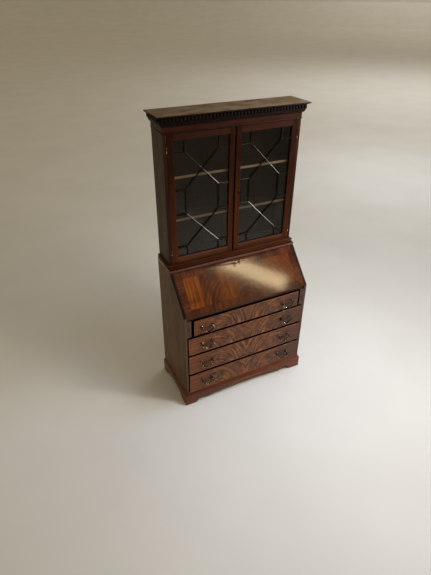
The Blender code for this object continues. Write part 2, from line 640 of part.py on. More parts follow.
bureau_carcass()
plinth()
waist()
bookcase()
door("left", -1)
door("right", 1)
key("door_key", (KEY_X, -UPPER_DEPTH, KEY_Z), 0.0, (0, -1, 0), (0, 0, 1), (1, 0, 0))
fall()
lopers()
drawers()
interior()
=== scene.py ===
"""Looks of the bureau bookcase: every visible piece, the stage, the light and the camera.

Metres; +Z is up and the front faces -Y. Sizes come from the CAD nodes of the shared frame.
"""
import json
import math

import bmesh
import bpy
from mathutils import Matrix, Vector


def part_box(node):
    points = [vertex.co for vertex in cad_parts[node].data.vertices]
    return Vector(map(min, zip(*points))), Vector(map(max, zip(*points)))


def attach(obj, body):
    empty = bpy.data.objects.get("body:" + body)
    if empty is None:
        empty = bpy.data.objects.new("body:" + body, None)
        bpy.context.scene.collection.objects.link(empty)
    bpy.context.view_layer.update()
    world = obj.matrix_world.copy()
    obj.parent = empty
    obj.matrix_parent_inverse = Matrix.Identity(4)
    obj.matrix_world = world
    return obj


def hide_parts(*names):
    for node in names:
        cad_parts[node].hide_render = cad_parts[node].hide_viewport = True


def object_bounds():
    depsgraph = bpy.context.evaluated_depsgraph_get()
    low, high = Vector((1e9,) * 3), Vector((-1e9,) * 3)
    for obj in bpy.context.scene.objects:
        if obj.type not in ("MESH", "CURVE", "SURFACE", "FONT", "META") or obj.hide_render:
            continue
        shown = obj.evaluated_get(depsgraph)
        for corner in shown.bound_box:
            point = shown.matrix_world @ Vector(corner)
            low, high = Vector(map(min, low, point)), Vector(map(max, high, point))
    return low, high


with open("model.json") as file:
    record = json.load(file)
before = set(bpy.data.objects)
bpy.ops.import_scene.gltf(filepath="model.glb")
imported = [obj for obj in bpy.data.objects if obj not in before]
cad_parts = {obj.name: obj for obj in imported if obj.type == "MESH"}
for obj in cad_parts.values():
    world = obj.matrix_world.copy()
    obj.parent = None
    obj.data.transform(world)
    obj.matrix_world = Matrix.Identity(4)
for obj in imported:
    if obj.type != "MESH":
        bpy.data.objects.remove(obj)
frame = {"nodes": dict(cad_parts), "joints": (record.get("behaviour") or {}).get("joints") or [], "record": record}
CAD_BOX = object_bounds()
NODES = frame["nodes"]
BODY_OF = {}
for _body, _members in frame["record"]["behaviour"]["bodies"].items():
    for _member in _members:
        BODY_OF[_member] = _body
ROOT = "carcass"
SIDES = ("left", "right")


# ---- sizes, from the CAD
def corners(node):
    """Lowest and highest corner of a CAD node's box."""
    lo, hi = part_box(node)
    return Vector(lo), Vector(hi)


def joint(name):
    """The frame's entry for one joint."""
    for entry in frame["joints"]:
        if entry["name"] == name:
            return entry
    raise KeyError(name)


def pivot_of(name):
    """A point on a joint's axis."""
    return Vector(joint(name)["pos_m"])


def find_slope():
    """Angle of the closed fall, from the largest sloping face of its panel."""
    best = None
    for face in NODES["fall_panel"].data.polygons:
        sloping = abs(face.normal.x) < 0.01 and face.normal.y < -0.1 and face.normal.z > 0.1
        if sloping and (best is None or face.area > best.area):
            best = face
    return math.atan2(-best.normal.y, best.normal.z)


SIDE_LO, SIDE_HI = corners("bureau_side_right")
CARCASS_FRONT, BACK = SIDE_LO.y, SIDE_HI.y
DOOR_LO, DOOR_HI = corners("door_right_frame")
DOORL_LO, DOORL_HI = corners("door_left_frame")
BOARD_LO, BOARD_HI = corners("writing_board")

# TILT turns (across, up the slope, out of the slope) from the fall's hinge into the frame
FALL_PIVOT = pivot_of("fall_hinge")
SLOPE = find_slope()
TILT = Matrix.Translation(FALL_PIVOT) @ Matrix.Rotation(SLOPE, 4, "X")
UNTILT = TILT.inverted()
UP_SLOPE = TILT.to_3x3() @ Vector((0, 1, 0))
OUT_OF_SLOPE = TILT.to_3x3() @ Vector((0, 0, 1))
FALL_POINTS = [UNTILT @ vertex.co for vertex in NODES["fall_panel"].data.vertices]
FALL_LENGTH = max(point.y for point in FALL_POINTS)
FALL_T = max(point.z for point in FALL_POINTS)

# ---- sizes of what only the looks have
# a face stays flat-shaded when its area is over BROAD times its perimeter
BROAD = 0.008
DUST_LIP = 0.024
PLANKS, PLANK_GAP = 6, 0.0004
RAIL_LIMIT = 0.05
HINGE_INSET, KNUCKLE_PITCH = 0.085, 0.0172
BAR_W, BAR_LAP = 0.0085, 0.0014
BAR_SIDE = 0.1907
BAR_HEIGHTS = (0.0859, 0.3886, 0.6026, 0.9049)
BOW_REACH = 0.0440
LEAF_INSET, LEAF_HALF = 0.13, 0.030
FRONT_INSET_LO, FRONT_INSET_HI = Vector((0.0018, 0, 0.0050)), Vector((0.0018, 0, 0.0028))
BEAD, BEAD_RISE, BEAD_GAP = 0.0032, 0.0011, 0.0009
POST_X, BAIL_REACH = 0.0365, 0.018
GALLERY_WALL, GALLERY_BAY, HOLES = 0.007, 0.155, 3
CROSSBAND = 0.045
SENSOR_MM, LENS_MM = 36.0, 28.3392
CAMERA_PLACE = (-1.31665, -2.54114, 2.47316)
CAMERA_YAW, CAMERA_PITCH, CAMERA_ROLL = 0.46669, -0.57569, 0.006814


# ---- shader graphs
def rgb(r, g, b):
    """sRGB 0 to 255 to linear."""
    result = []
    for c in (r, g, b):
        c /= 255
        result.append(c / 12.92 if c <= 0.04045 else ((c + 0.055) / 1.055) ** 2.4)
    return (*result, 1.0)


def mixed(a, b, k):
    """Colour a share k of the way from a to b."""
    return tuple(p * (1 - k) + q * k for p, q in zip(a, b))


def scaled(a, k):
    """Colour a made k times as bright."""
    return (a[0] * k, a[1] * k, a[2] * k, 1.0)


class Graph:
    """One material's nodes; each call adds a node and returns its output socket."""

    def __init__(self, name):
        self.mat = bpy.data.materials.new(name)
        self.mat.use_nodes = True
        self.tree = self.mat.node_tree
        self.tree.nodes.clear()
        self.out = self.node("OutputMaterial")
        self.coord = self.node("TexCoord").outputs["Object"]
        split = self.node("SeparateXYZ")
        self.put(split.inputs[0], self.coord)
        self.x, self.y, self.z = split.outputs

    def node(self, kind, **props):
        made = self.tree.nodes.new("ShaderNode" + kind)
        for key, value in props.items():
            setattr(made, key, value)
        return made

    def put(self, socket, value):
        if isinstance(value, bpy.types.NodeSocket):
            self.tree.links.new(value, socket)
        elif value is not None:
            socket.default_value = value

    def math(self, op, *values):
        made = self.node("Math", operation=op)
        for socket, value in zip(made.inputs, values):
            self.put(socket, value)
        return made.outputs[0]

    def add(self, a, b):
        return self.math("ADD", a, b)

    def sub(self, a, b):
        return self.math("SUBTRACT", a, b)

    def mul(self, a, b):
        return self.math("MULTIPLY", a, b)

    def fma(self, a, b, c):
        return self.math("MULTIPLY_ADD", a, b, c)

    def length(self, a, b):
        return self.math("SQRT", self.add(self.mul(a, a), self.mul(b, b)))

    def vec(self, x, y, z):
        made = self.node("CombineXYZ")
        for socket, value in zip(made.inputs, (x, y, z)):
            self.put(socket, value)
        return made.outputs[0]

    def noise(self, vector, scale=1.0, detail=4.0, rough=0.5, distort=0.0):
        made = self.node("TexNoise", noise_dimensions="3D")
        self.put(made.inputs["Vector"], vector)
        settings = {"Scale": scale, "Detail": detail, "Roughness": rough, "Distortion": distort}
        for key, value in settings.items():
            made.inputs[key].default_value = value
        return made.outputs[0]

    def field(self, a, a_scale, b, b_scale, shift, detail=3.0, rough=0.5, distort=0.0):
        """Noise stretched differently along a and b."""
        place = self.vec(self.mul(a, a_scale), self.mul(b, b_scale), shift)
        return self.noise(place, 1.0, detail, rough, distort)

    def span(self, value, a, b, c=0.0, d=1.0):
        """value moved from the range a to b onto c to d, and held there."""
        made = self.node("MapRange", clamp=True)
        for key, item in (("Value", value), ("From Min", a), ("From Max", b), ("To Min", c), ("To Max", d)):
            self.put(made.inputs[key], item)
        return made.outputs[0]

    def ramp(self, value, *stops):
        made = self.node("ValToRGB")
        self.put(made.inputs[0], value)
        band = made.color_ramp
        while len(band.elements) < len(stops):
            band.elements.new(0.5)
        for element, (place, color) in zip(band.elements, stops):
            element.position = place
            element.color = color
        return made.outputs[0]

    def mix(self, factor, a, b):
        made = self.node("Mix", data_type="RGBA")
        for socket, value in ((0, factor), (6, a), (7, b)):
            self.put(made.inputs[socket], value)
        return made.outputs[2]

    def bump(self, height, distance, strength):
        made = self.node("Bump")
        made.inputs["Strength"].default_value = strength
        made.inputs["Distance"].default_value = distance
        self.put(made.inputs["Height"], height)
        return made.outputs[0]

    def near(self, value, place, width, soft):
        """1 where value is within width of place, falling to 0 over soft."""
        away = self.math("ABSOLUTE", self.sub(value, place))
        return self.span(away, width, width + soft, 1.0, 0.0)

    def surface(self, color, gloss, normal=None, **values):
        made = self.node("BsdfPrincipled")
        values.update(Base_Color=color, Roughness=gloss, Normal=normal)
        for key, value in values.items():
            self.put(made.inputs[key.replace("_", " ")], value)
        self.put(self.out.inputs["Surface"], made.outputs[0])
        return self.mat


def along(g, axis):
    """(along the grain, across, across) for that grain axis."""
    return {"x": (g.x, g.z, g.y), "y": (g.y, g.x, g.z), "z": (g.z, g.x, g.y)}[axis]


def grain(g, u, v, w, seed):
    """Fields of a plank with its grain along u: broad streaks, fine streaks, pores and cloud."""
    shift = seed * 3.17
    bend = g.noise(g.vec(g.mul(u, 1.7), g.mul(v, 3.0), g.fma(w, 3.0, shift)), 1.0, 2.0)
    v = g.add(v, g.mul(g.sub(bend, 0.5), 0.032))
    fields = []
    for length, across, detail, rough, distort in (
            (1.1, 26.0, 3.0, 0.55, 0.3), (3.5, 170.0, 4.0, 0.6, 0.0), (60.0, 1100.0, 2.0, 0.5, 0.0),
            (3.0, 7.0, 3.0, 0.5, 0.0)):
        place = g.vec(g.fma(u, length, shift), g.mul(v, across), g.mul(w, across))
        fields.append(g.noise(place, 1.0, detail, rough, distort))
    return fields


CACHE = {}


def wood(name, axis, light, dark, seed, rough=0.30, coat=0.0, contrast=1.0, dust=0.0, curl=0.0,
         shine=0.25, fade=None):
    """Plain wood. curl adds cross bars, dust a pale film, and fade (z0, z1, k) is painted shade that darkens it
    upwards.
    """
    key = (name, axis, seed)
    if key in CACHE:
        return CACHE[key]
    g = Graph("%s_%s_%d" % (name, axis, int(seed * 10)))
    u, v, w = along(g, axis)
    broad, thin, pore, cloud = grain(g, u, v, w, seed)
    tone = g.add(g.mul(broad, 0.62), g.mul(thin, 0.38))
    color = g.ramp(tone, (0.5 - 0.19 / contrast, dark), (0.5, mixed(dark, light, 0.5)),
                   (0.5 + 0.17 / contrast, light))
    color = g.mix(g.span(cloud, 0.35, 0.7, 0.0, 0.45), color, mixed(dark, light, 0.15))
    if curl:
        bars = g.noise(g.vec(g.mul(u, 34.0), g.mul(v, 5.0), g.fma(w, 5.0, seed)), 1.0, 2.0, 0.5)
        color = g.mix(g.span(bars, 0.42, 0.62, 0.0, curl), color, mixed(dark, light, 0.9))
    # painted shade: the colour darkens from z0 up to z1
    if fade:
        tone = g.add(g.z, g.mul(g.sub(cloud, 0.5), 0.3))
        color = g.mix(g.span(tone, fade[0], fade[1]), color, scaled(mixed(dark, light, 0.4), fade[2]))
    pits = g.span(pore, 0.60, 0.70)
    color = g.mix(g.mul(pits, 0.55), color, scaled(dark, 0.45))
    smear = g.noise(g.vec(g.mul(u, 9.0), g.mul(v, 17.0), g.fma(w, 17.0, seed)), 1.0, 5.0, 0.6)
    if dust:
        color = g.mix(g.span(smear, 0.40, 0.66, 0.0, dust), color, rgb(150, 132, 100))
    gloss = g.add(g.span(smear, 0.3, 0.7, rough - 0.05, rough + 0.10), g.mul(pits, 0.15))
    normal = g.bump(g.sub(g.mul(thin, 0.25), pits), 0.00018, 0.5)
    CACHE[key] = g.surface(color, gloss, normal, Coat_Weight=coat, Coat_Roughness=0.16, IOR=1.5,
                           Specular_IOR_Level=shine)
    return CACHE[key]


def timber(name, light, dark, **look):
    """A maker of one wood's material, for a grain axis and a seed."""
    def make(axis, seed):
        return wood(name, axis, rgb(*light), rgb(*dark), seed, **look)
    return make


mahogany = timber("mahogany", (60, 26, 14), (22, 9, 5), rough=0.32, coat=0.02, shine=0.10)
# door stiles: painted shade darkens them upwards from 1.10 m
mahogany_stile = timber("mahogany_stile", (92, 46, 20), (38, 17, 7), rough=0.32, coat=0.015, shine=0.06,
                        fade=(1.10, 1.65, 0.30))
# lighter copy for the doors' bottom rails: partly their own tone, partly painted light on the lower door
mahogany_rail = timber("mahogany_rail", (98, 58, 37), (46, 24, 14), rough=0.32, coat=0.02, shine=0.09)
# lighter copy with a clear coat for the bureau top's edges: real gloss, plus painted highlight in its colour
mahogany_gloss = timber("mahogany_gloss", (124, 70, 48), (52, 27, 18), rough=0.24, coat=0.45, shine=0.2)
# olive-brown side colours: the wood's tone with a painted reflection of a pale warm wall mixed in
mahogany_upper = timber("mahogany_upper", (84, 62, 38), (42, 30, 19), rough=0.36, contrast=1.2, shine=0.12)
mahogany_side = timber("mahogany_side", (122, 88, 54), (66, 45, 27), rough=0.36, contrast=1.2, shine=0.15)
mahogany_cap = timber("mahogany_cap", (90, 66, 44), (46, 30, 19), rough=0.45, dust=0.3, shine=0.2)
# very dark: painted shade of the inside of the glazed case
mahogany_inner = timber("mahogany_inner", (38, 24, 14), (20, 12, 7), rough=0.6, shine=0.05)
# pale tan copy for the shelves' front edges: painted light
mahogany_shelf = timber("mahogany_shelf", (160, 127, 95), (98, 74, 54), rough=0.42, coat=0.05)
mahogany_dark = timber("mahogany_dark", (34, 17, 11), (15, 8, 6), rough=0.42, shine=0.08)
mahogany_plinth = timber("mahogany_plinth", (134, 66, 34), (64, 29, 14), rough=0.30, coat=0.10)
mahogany_bar = timber("mahogany_bar", (16, 8, 6), (7, 4, 3), rough=0.25, coat=0.32, shine=0.05)
# paler, greyish copy: on front edges and the fall's lower edge it is painted highlight
mahogany_edge = timber("mahogany_edge", (104, 74, 62), (60, 39, 33), rough=0.34, coat=0.1, shine=0.2)
cornice_wood = timber("cornice_wood", (30, 13, 10), (14, 7, 6), rough=0.4, shine=0.06)
# paler than the drawer fronts: partly the bead's own tone, partly painted highlight on its rounded face
bead_wood = timber("bead", (176, 116, 78), (104, 60, 38), rough=0.28, coat=0.1)
# near black: painted shade for gaps, reveals and joints that no light reaches
painted_shade_black = timber("painted_shade_edge", (4, 3, 3), (2, 1, 1), rough=0.8, shine=0.02)
oak = timber("oak", (176, 138, 92), (120, 88, 54), rough=0.55, curl=0.25)
pine = timber("pine_back", (132, 96, 60), (76, 51, 31), rough=0.62, dust=0.35, shine=0.1)


# ---- drawer veneer
def flame(number, low, handle_x, level):
    """Book-matched plume figure of a drawer front."""
    g = Graph("flame_veneer_%d" % number)
    side = g.math("ABSOLUTE", g.x)
    big = g.field(g.x, 5.0, g.z, 7.0, number * 5.3)
    dx = g.sub(side, 0.262)
    dz = g.sub(g.z, low - 0.045)
    angle = g.math("ARCTAN2", dz, g.mul(dx, -1.0))
    radius = g.add(g.length(dx, dz), g.mul(g.sub(big, 0.5), 0.035))
    stripes = g.field(radius, 85.0, angle, 2.2, number * 3.7, 4.0, 0.62, 0.25)
    hair = g.field(radius, 420.0, angle, 9.0, number * 1.9, 3.0, 0.6)
    cross = g.field(radius, 16.0, angle, 14.0, number * 2.3, 2.0)
    tone = g.add(g.add(g.mul(stripes, 0.70), g.mul(hair, 0.22)), g.mul(cross, 0.08))
    plume = g.ramp(tone, (0.38, rgb(44, 22, 11)), (0.47, rgb(88, 49, 23)), (0.54, rgb(130, 77, 37)),
                   (0.64, rgb(166, 104, 52)))
    straight = g.noise(g.vec(g.mul(g.x, 3.0), number * 2.0, g.fma(g.z, 90.0, g.mul(big, 3.0))), 1.0, 5.0, 0.6)
    plain = g.ramp(straight, (0.34, rgb(86, 42, 19)), (0.5, rgb(118, 62, 28)), (0.68, rgb(142, 82, 38)))
    wing = g.span(g.add(side, g.mul(g.sub(big, 0.5), 0.12)), 0.27, 0.345)
    color = g.mix(wing, plume, plain)
    cloud = g.field(g.x, 9.0, g.z, 12.0, number * 7.7, 3.0, 0.55)
    color = g.mix(g.span(cloud, 0.5, 0.75, 0.0, 0.32), color, rgb(50, 28, 16))
    reach = g.length(g.mul(g.sub(side, handle_x), 0.62), g.sub(g.z, level - 0.008))
    dirt = g.span(g.add(reach, g.mul(g.sub(cloud, 0.5), 0.05)), 0.014, 0.050, 0.45, 0.0)
    color = g.mix(dirt, color, rgb(44, 26, 18))
    end = g.span(g.add(g.x, g.mul(g.sub(cloud, 0.5), 0.3)), 0.22, 0.34)
    color = g.mix(g.mul(end, 0.55), color, rgb(50, 30, 22))
    stem = g.near(g.add(g.x, g.mul(g.sub(big, 0.5), 0.03)), 0.0, 0.0025, 0.012)
    color = g.mix(g.mul(stem, 0.35), color, rgb(84, 44, 26))
    pits = g.span(g.field(radius, 1300.0, angle, 60.0, 0.5, 2.0), 0.6, 0.7)
    color = g.mix(g.mul(pits, 0.35), color, rgb(50, 26, 16))
    smear = g.noise(g.vec(g.mul(g.x, 11.0), 1.0, g.mul(g.z, 22.0)), 1.0, 4.0, 0.6)
    gloss = g.span(smear, 0.3, 0.7, 0.24, 0.36)
    normal = g.bump(g.sub(g.mul(hair, 0.3), pits), 0.00012, 0.4)
    return g.surface(color, gloss, normal, Coat_Weight=0.06, Coat_Roughness=0.15, IOR=1.5,
                     Specular_IOR_Level=0.25)


def up_slope(g):
    """Distance up the slope of the closed fall from its hinge."""
    level = g.mul(g.sub(g.y, FALL_PIVOT.y), math.cos(SLOPE))
    return g.add(level, g.mul(g.sub(g.z, FALL_PIVOT.z), math.sin(SLOPE)))


def fall_veneer(length, half):
    """Four leaves inside a crossbanded border; s runs up the slope."""
    g = Graph("fall_veneer")
    x, s = g.x, up_slope(g)
    big = g.field(x, 4.0, s, 5.0, 2.0)
    radius = g.add(g.length(g.sub(x, 0.02), g.add(s, 0.02)), g.mul(g.sub(big, 0.5), 0.11))
    stripes = g.noise(g.vec(g.mul(radius, 70.0), g.mul(x, 2.0), g.mul(s, 2.0)), 1.0, 4.0, 0.62, 0.4)
    lines = g.noise(g.vec(g.fma(x, 60.0, g.mul(big, 14.0)), 4.0, g.mul(s, 5.0)), 1.0, 5.0, 0.62, 0.3)
    figure = g.ramp(g.add(g.mul(stripes, 0.6), g.mul(lines, 0.4)), (0.36, rgb(40, 16, 5)),
                    (0.48, rgb(62, 27, 8)), (0.56, rgb(84, 39, 11)), (0.68, rgb(118, 58, 18)))
    calm = g.noise(g.vec(g.fma(x, 75.0, g.mul(big, 2.0)), 7.0, g.mul(s, 3.0)), 1.0, 4.0, 0.6)
    hot = g.ramp(calm, (0.35, rgb(88, 37, 4)), (0.5, rgb(112, 53, 5)), (0.66, rgb(134, 72, 11)))
    right = g.span(g.add(x, g.mul(big, 0.1)), 0.2, 0.3)
    figure = g.mix(g.mul(right, 0.25), figure, rgb(128, 54, 18))
    edge = g.add(-0.306, g.mul(s, 0.06))
    first = g.span(g.sub(x, edge), -0.004, 0.0, 1.0, 0.0)
    second = g.mul(g.span(x, -0.19, -0.15), g.span(g.add(x, g.mul(big, 0.06)), -0.06, 0.02, 1.0, 0.0))
    color = g.mix(g.mul(second, 0.45), figure, hot)
    color = g.mix(first, color, hot)
    cloud = g.field(x, 7.0, s, 9.0, 8.0, 3.0, 0.55)
    color = g.mix(g.span(cloud, 0.52, 0.7, 0.0, 0.6), color, rgb(36, 18, 10))
    edge_x = g.sub(half, g.math("ABSOLUTE", x))
    edge_s = g.math("MINIMUM", s, g.sub(length, s))
    rim = g.math("MINIMUM", edge_x, edge_s)
    band = g.span(rim, CROSSBAND - 0.0005, CROSSBAND + 0.0005, 1.0, 0.0)
    upright = g.span(g.sub(edge_x, edge_s), -0.0005, 0.0005)
    run = g.add(g.mul(upright, x), g.mul(g.sub(1.0, upright), s))
    over = g.add(g.mul(upright, s), g.mul(g.sub(1.0, upright), x))
    teeth = g.field(run, 150.0, over, 7.0, 1.5, 4.0, 0.65)
    slow = g.field(run, 9.0, over, 3.0, 4.5)
    cross = g.ramp(g.add(g.mul(teeth, 0.55), g.mul(slow, 0.45)), (0.36, rgb(40, 15, 6)),
                   (0.5, rgb(68, 30, 13)), (0.64, rgb(98, 48, 20)))
    color = g.mix(band, color, cross)
    line = g.near(rim, CROSSBAND + 0.0002, 0.0006, 0.0008)
    color = g.mix(g.mul(line, 0.8), color, rgb(30, 16, 10))
    pits = g.span(g.field(x, 900.0, s, 60.0, 0.5, 2.0), 0.6, 0.7)
    color = g.mix(g.mul(pits, 0.3), color, rgb(44, 22, 12))
    smear = g.field(x, 13.0, s, 16.0, 3.0, 4.0, 0.6)
    gloss = g.span(smear, 0.3, 0.7, 0.22, 0.34)
    ripple = g.field(x, 130.0, s, 16.0, 6.0)
    normal = g.bump(g.add(g.mul(ripple, 0.8), g.mul(pits, -0.4)), 0.0002, 0.4)
    return g.surface(color, gloss, normal, Coat_Weight=0.6, Coat_Roughness=0.11, IOR=1.5,
                     Specular_IOR_Level=0.03)


# ---- metals, glass, leather
def aged_brass():
    """Worn brass of the inner fittings."""
    bright, dark = rgb(168, 128, 70), rgb(52, 40, 26)
    g = Graph("aged_brass")
    spots = g.noise(g.coord, 260.0, 5.0, 0.6)
    patch = g.noise(g.coord, 55.0, 3.0, 0.5)
    tone = g.add(g.mul(spots, 0.5), g.mul(patch, 0.5))
    color = g.ramp(tone, (0.40, dark), (0.5, mixed(dark, bright, 0.5)), (0.66, bright))
    gloss = g.span(tone, 0.35, 0.65, 0.46, 0.24)
    return g.surface(color, gloss, g.bump(spots, 0.0002, 0.35), Metallic=1.0)


def dark_brass():
    """Old brass gone nearly black, with bright rubbed spots."""
    g = Graph("dark_brass")
    spots = g.noise(g.coord, 150.0, 4.0, 0.55)
    fine = g.noise(g.coord, 700.0, 3.0, 0.6)
    tone = g.add(g.mul(spots, 0.75), g.mul(fine, 0.25))
    color = g.ramp(tone, (0.42, rgb(2, 2, 1)), (0.55, rgb(8, 6, 5)), (0.585, rgb(206, 190, 152)),
                   (0.65, rgb(250, 240, 214)))
    gloss = g.span(tone, 0.4, 0.6, 0.30, 0.20)
    return g.surface(color, gloss, g.bump(spots, 0.0003, 0.3), Metallic=1.0, Coat_Weight=0.12,
                     Coat_Roughness=0.10)


def dark_steel(name, coat, bright):
    """Iron gone dark, with small bright spots."""
    g = Graph(name)
    spots = g.noise(g.coord, 420.0, 5.0, 0.65)
    color = g.ramp(spots, (0.46, rgb(7, 6, 6)), (0.55, mixed(rgb(2, 2, 2), bright, 0.02)), (0.61, bright))
    gloss = g.span(spots, 0.35, 0.65, 0.5, 0.3)
    return g.surface(color, gloss, g.bump(spots, 0.0001, 0.4), Metallic=1.0, Coat_Weight=coat,
                     Coat_Roughness=0.12)


def pane_glass():
    """Slightly wavy clear glass that reflects on its outer faces only."""
    g = Graph("old_glass")
    normal = g.bump(g.noise(g.coord, 9.0, 2.0, 0.5), 0.002, 0.06)
    clear = g.node("BsdfTransparent")
    clear.inputs[0].default_value = (0.86, 0.88, 0.86, 1.0)
    gloss = g.node("BsdfGlossy")
    gloss.inputs["Color"].default_value = (0.78, 0.755, 0.69, 1.0)
    gloss.inputs["Roughness"].default_value = 0.03
    g.put(gloss.inputs["Normal"], normal)
    fresnel = g.node("Fresnel")
    fresnel.inputs["IOR"].default_value = 1.52
    g.put(fresnel.inputs["Normal"], normal)
    outside = g.sub(1.0, g.node("NewGeometry").outputs["Backfacing"])
    mixer = g.node("MixShader")
    g.put(mixer.inputs[0], g.mul(fresnel.outputs[0], outside))
    g.put(mixer.inputs[1], clear.outputs[0])
    g.put(mixer.inputs[2], gloss.outputs[0])
    g.put(g.out.inputs["Surface"], mixer.outputs[0])
    return g.mat


def tooled_leather(half, foot, head):
    """Green leather with a gilt line and a row of dots inside its edge."""
    g = Graph("tooled_leather")
    s = up_slope(g)
    pebble = g.node("TexVoronoi", feature="DISTANCE_TO_EDGE")
    g.put(pebble.inputs["Vector"], g.vec(g.x, s, 0.0))
    pebble.inputs["Scale"].default_value = 520.0
    cells = g.span(pebble.outputs[0], 0.0, 0.22)
    wear = g.noise(g.vec(g.x, s, 0.0), 7.0, 4.0, 0.6)
    color = g.ramp(wear, (0.35, rgb(26, 46, 32)), (0.55, rgb(38, 62, 42)), (0.72, rgb(62, 78, 50)))
    color = g.mix(g.span(cells, 0.0, 1.0, 0.5, 0.0), color, rgb(14, 24, 18))
    rim = g.math("MINIMUM", g.sub(half, g.math("ABSOLUTE", g.x)),
                 g.math("MINIMUM", g.sub(s, foot), g.sub(head, s)))
    tool = g.math("MAXIMUM", g.near(rim, 0.014, 0.0008, 0.0004), g.near(rim, 0.019, 0.0003, 0.0003))
    dots = g.math("SINE", g.mul(g.add(g.x, s), 700.0))
    row = g.mul(g.near(rim, 0.0165, 0.0009, 0.0004), g.span(dots, 0.2, 0.5))
    gold = g.math("MAXIMUM", tool, row)
    color = g.mix(g.mul(gold, 0.85), color, rgb(188, 150, 78))
    height = g.sub(cells, g.mul(gold, 1.5))
    return g.surface(color, g.span(wear, 0.3, 0.7, 0.42, 0.56), g.bump(height, 0.00025, 0.5))


# ---- mesh helpers
def linked(name, data):
    """A new object in the scene."""
    obj = bpy.data.objects.new(name, data)
    bpy.context.scene.collection.objects.link(obj)
    return obj


def finish_mesh(name, bm, mats, body, replaces=(), angle=38.0):
    """Object from bm, smooth but for its broad faces, riding on a body of the frame."""
    bmesh.ops.recalc_face_normals(bm, faces=bm.faces)
    mesh = bpy.data.meshes.new(name)
    for mat in mats if isinstance(mats, (list, tuple)) else [mats]:
        mesh.materials.append(mat)
    bm.to_mesh(mesh)
    broad = [f.calc_area() > BROAD * f.calc_perimeter() for f in bm.faces]
    bm.free()
    obj = linked(name, mesh)
    mesh.shade_smooth()
    mesh.set_sharp_from_angle(angle=math.radians(angle))
    for polygon, flat in zip(mesh.polygons, broad):
        if flat:
            polygon.use_smooth = False
    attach(obj, body)
    if replaces:
        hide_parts(*replaces)
    return obj


def stand_in(node, bm, mats, ending="finish", angle=38.0):
    """Object from bm that is drawn in place of a CAD node."""
    return finish_mesh("%s_%s" % (node, ending), bm, mats, BODY_OF[node], (node,), angle)


def soften(bm, width, segments=2, limit=28.0):
    """Round every sharp edge."""
    bmesh.ops.dissolve_limit(bm, angle_limit=math.radians(0.4), verts=bm.verts, edges=bm.edges)
    edges = []
    for edge in bm.edges:
        if len(edge.link_faces) == 2 and edge.calc_face_angle(0.0) > math.radians(limit):
            edges.append(edge)
    if edges:
        bmesh.ops.bevel(bm, geom=edges, offset=width, segments=segments, profile=0.6,
                        affect="EDGES", clamp_overlap=True, loop_slide=True)


def from_node(node):
    """The CAD node's mesh, its doubled points merged."""
    bm = bmesh.new()
    bm.from_mesh(NODES[node].data)
    bmesh.ops.remove_doubles(bm, verts=bm.verts, dist=0.00002)
    return bm


def redo(node, mat, width=0.0008, limit=28.0):
    """A CAD node again, with its edges rounded over."""
    bm = from_node(node)
    soften(bm, width, limit=limit)
    return stand_in(node, bm, mat)


def split(node, mats, second, width=0.0008, slot="mahogany"):
    """A CAD node again in two finishes: the second one where second(face) is true."""
    bm = from_node(node)
    soften(bm, width)
    bm.normal_update()
    for face in bm.faces:
        face.material_index = 1 if second(face) else 0
    return stand_in(node, bm, mats)


def turns(steps):
    """Angles of steps points round a circle."""
    return [2 * math.pi * k / steps for k in range(steps)]


def bridge(bm, a, b):
    """Faces between two rings of vertices, or between a ring and a single vertex."""
    steps = max(len(a), len(b))
    for k in range(steps):
        n = (k + 1) % steps
        if len(a) == 1:
            bm.faces.new((a[0], b[k], b[n]))
        elif len(b) == 1:
            bm.faces.new((a[k], b[0], a[n]))
        else:
            bm.faces.new((a[k], b[k], b[n], a[n]))


def skin(bm, rings, caps=True):
    """Walls between rings of vertices, and with caps a face across each open end."""
    for a, b in zip(rings, rings[1:]):
        bridge(bm, a, b)
    for ring in (rings[0], rings[-1]):
        if caps and len(ring) > 2:
            bm.faces.new(ring)


def add_box(bm, lo, hi, matrix=Matrix()):
    """Box between two corners, moved by matrix."""
    (x0, y0, z0), (x1, y1, z1) = lo, hi
    made = []
    for z in (z0, z1):
        for x, y in ((x0, y0), (x1, y0), (x1, y1), (x0, y1)):
            made.append(bm.verts.new(matrix @ Vector((x, y, z))))
    for ring in ((3, 2, 1, 0), (4, 5, 6, 7), (0, 1, 5, 4), (1, 2, 6, 5), (2, 3, 7, 6), (3, 0, 4, 7)):
        bm.faces.new([made[k] for k in ring])


def add_lathe(bm, profile, center, direction, steps):
    """Turned piece; profile is [(distance along direction, radius)]."""
    direction = Vector(direction).normalized()
    side = direction.orthogonal().normalized()
    other = direction.cross(side)
    rings = []
    for distance, radius in profile:
        middle = Vector(center) + direction * distance
        if radius == 0:
            rings.append([bm.verts.new(middle)])
            continue
        ring = []
        for a in turns(steps):
            ring.append(bm.verts.new(middle + (side * math.cos(a) + other * math.sin(a)) * radius))
        rings.append(ring)
    skin(bm, rings)


def smooth_path(points, radii, steps):
    """Catmull-Rom through points and radii."""
    items = [(*p, r) for p, r in zip(points, radii)]
    items = [items[0]] + items + [items[-1]]
    result = []
    for k in range(1, len(items) - 2):
        a, b, c, d = (Vector(items[k + j]) for j in (-1, 0, 1, 2))
        for n in range(steps):
            t = n / steps
            result.append(0.5 * ((2 * b) + (c - a) * t + (2 * a - 5 * b + 4 * c - d) * t * t
                                 + (3 * b - a - 3 * c + d) * t ** 3))
    result.append(Vector(items[-2]))
    return [Vector(p[:3]) for p in result], [p[3] for p in result]


def add_tube(bm, points, radii, steps):
    """Round tube along points that lie in an XZ plane."""
    plane = Vector((0, 1, 0))
    rings = []
    for k, (point, radius) in enumerate(zip(points, radii)):
        before = points[max(k - 1, 0)]
        after = points[min(k + 1, len(points) - 1)]
        tangent = (after - before).normalized()
        side = (plane - tangent * plane.dot(tangent)).normalized()
        other = tangent.cross(side)
        ring = []
        for a in turns(steps):
            ring.append(bm.verts.new(point + side * math.cos(a) * radius + other * math.sin(a) * radius))
        rings.append(ring)
    skin(bm, rings)


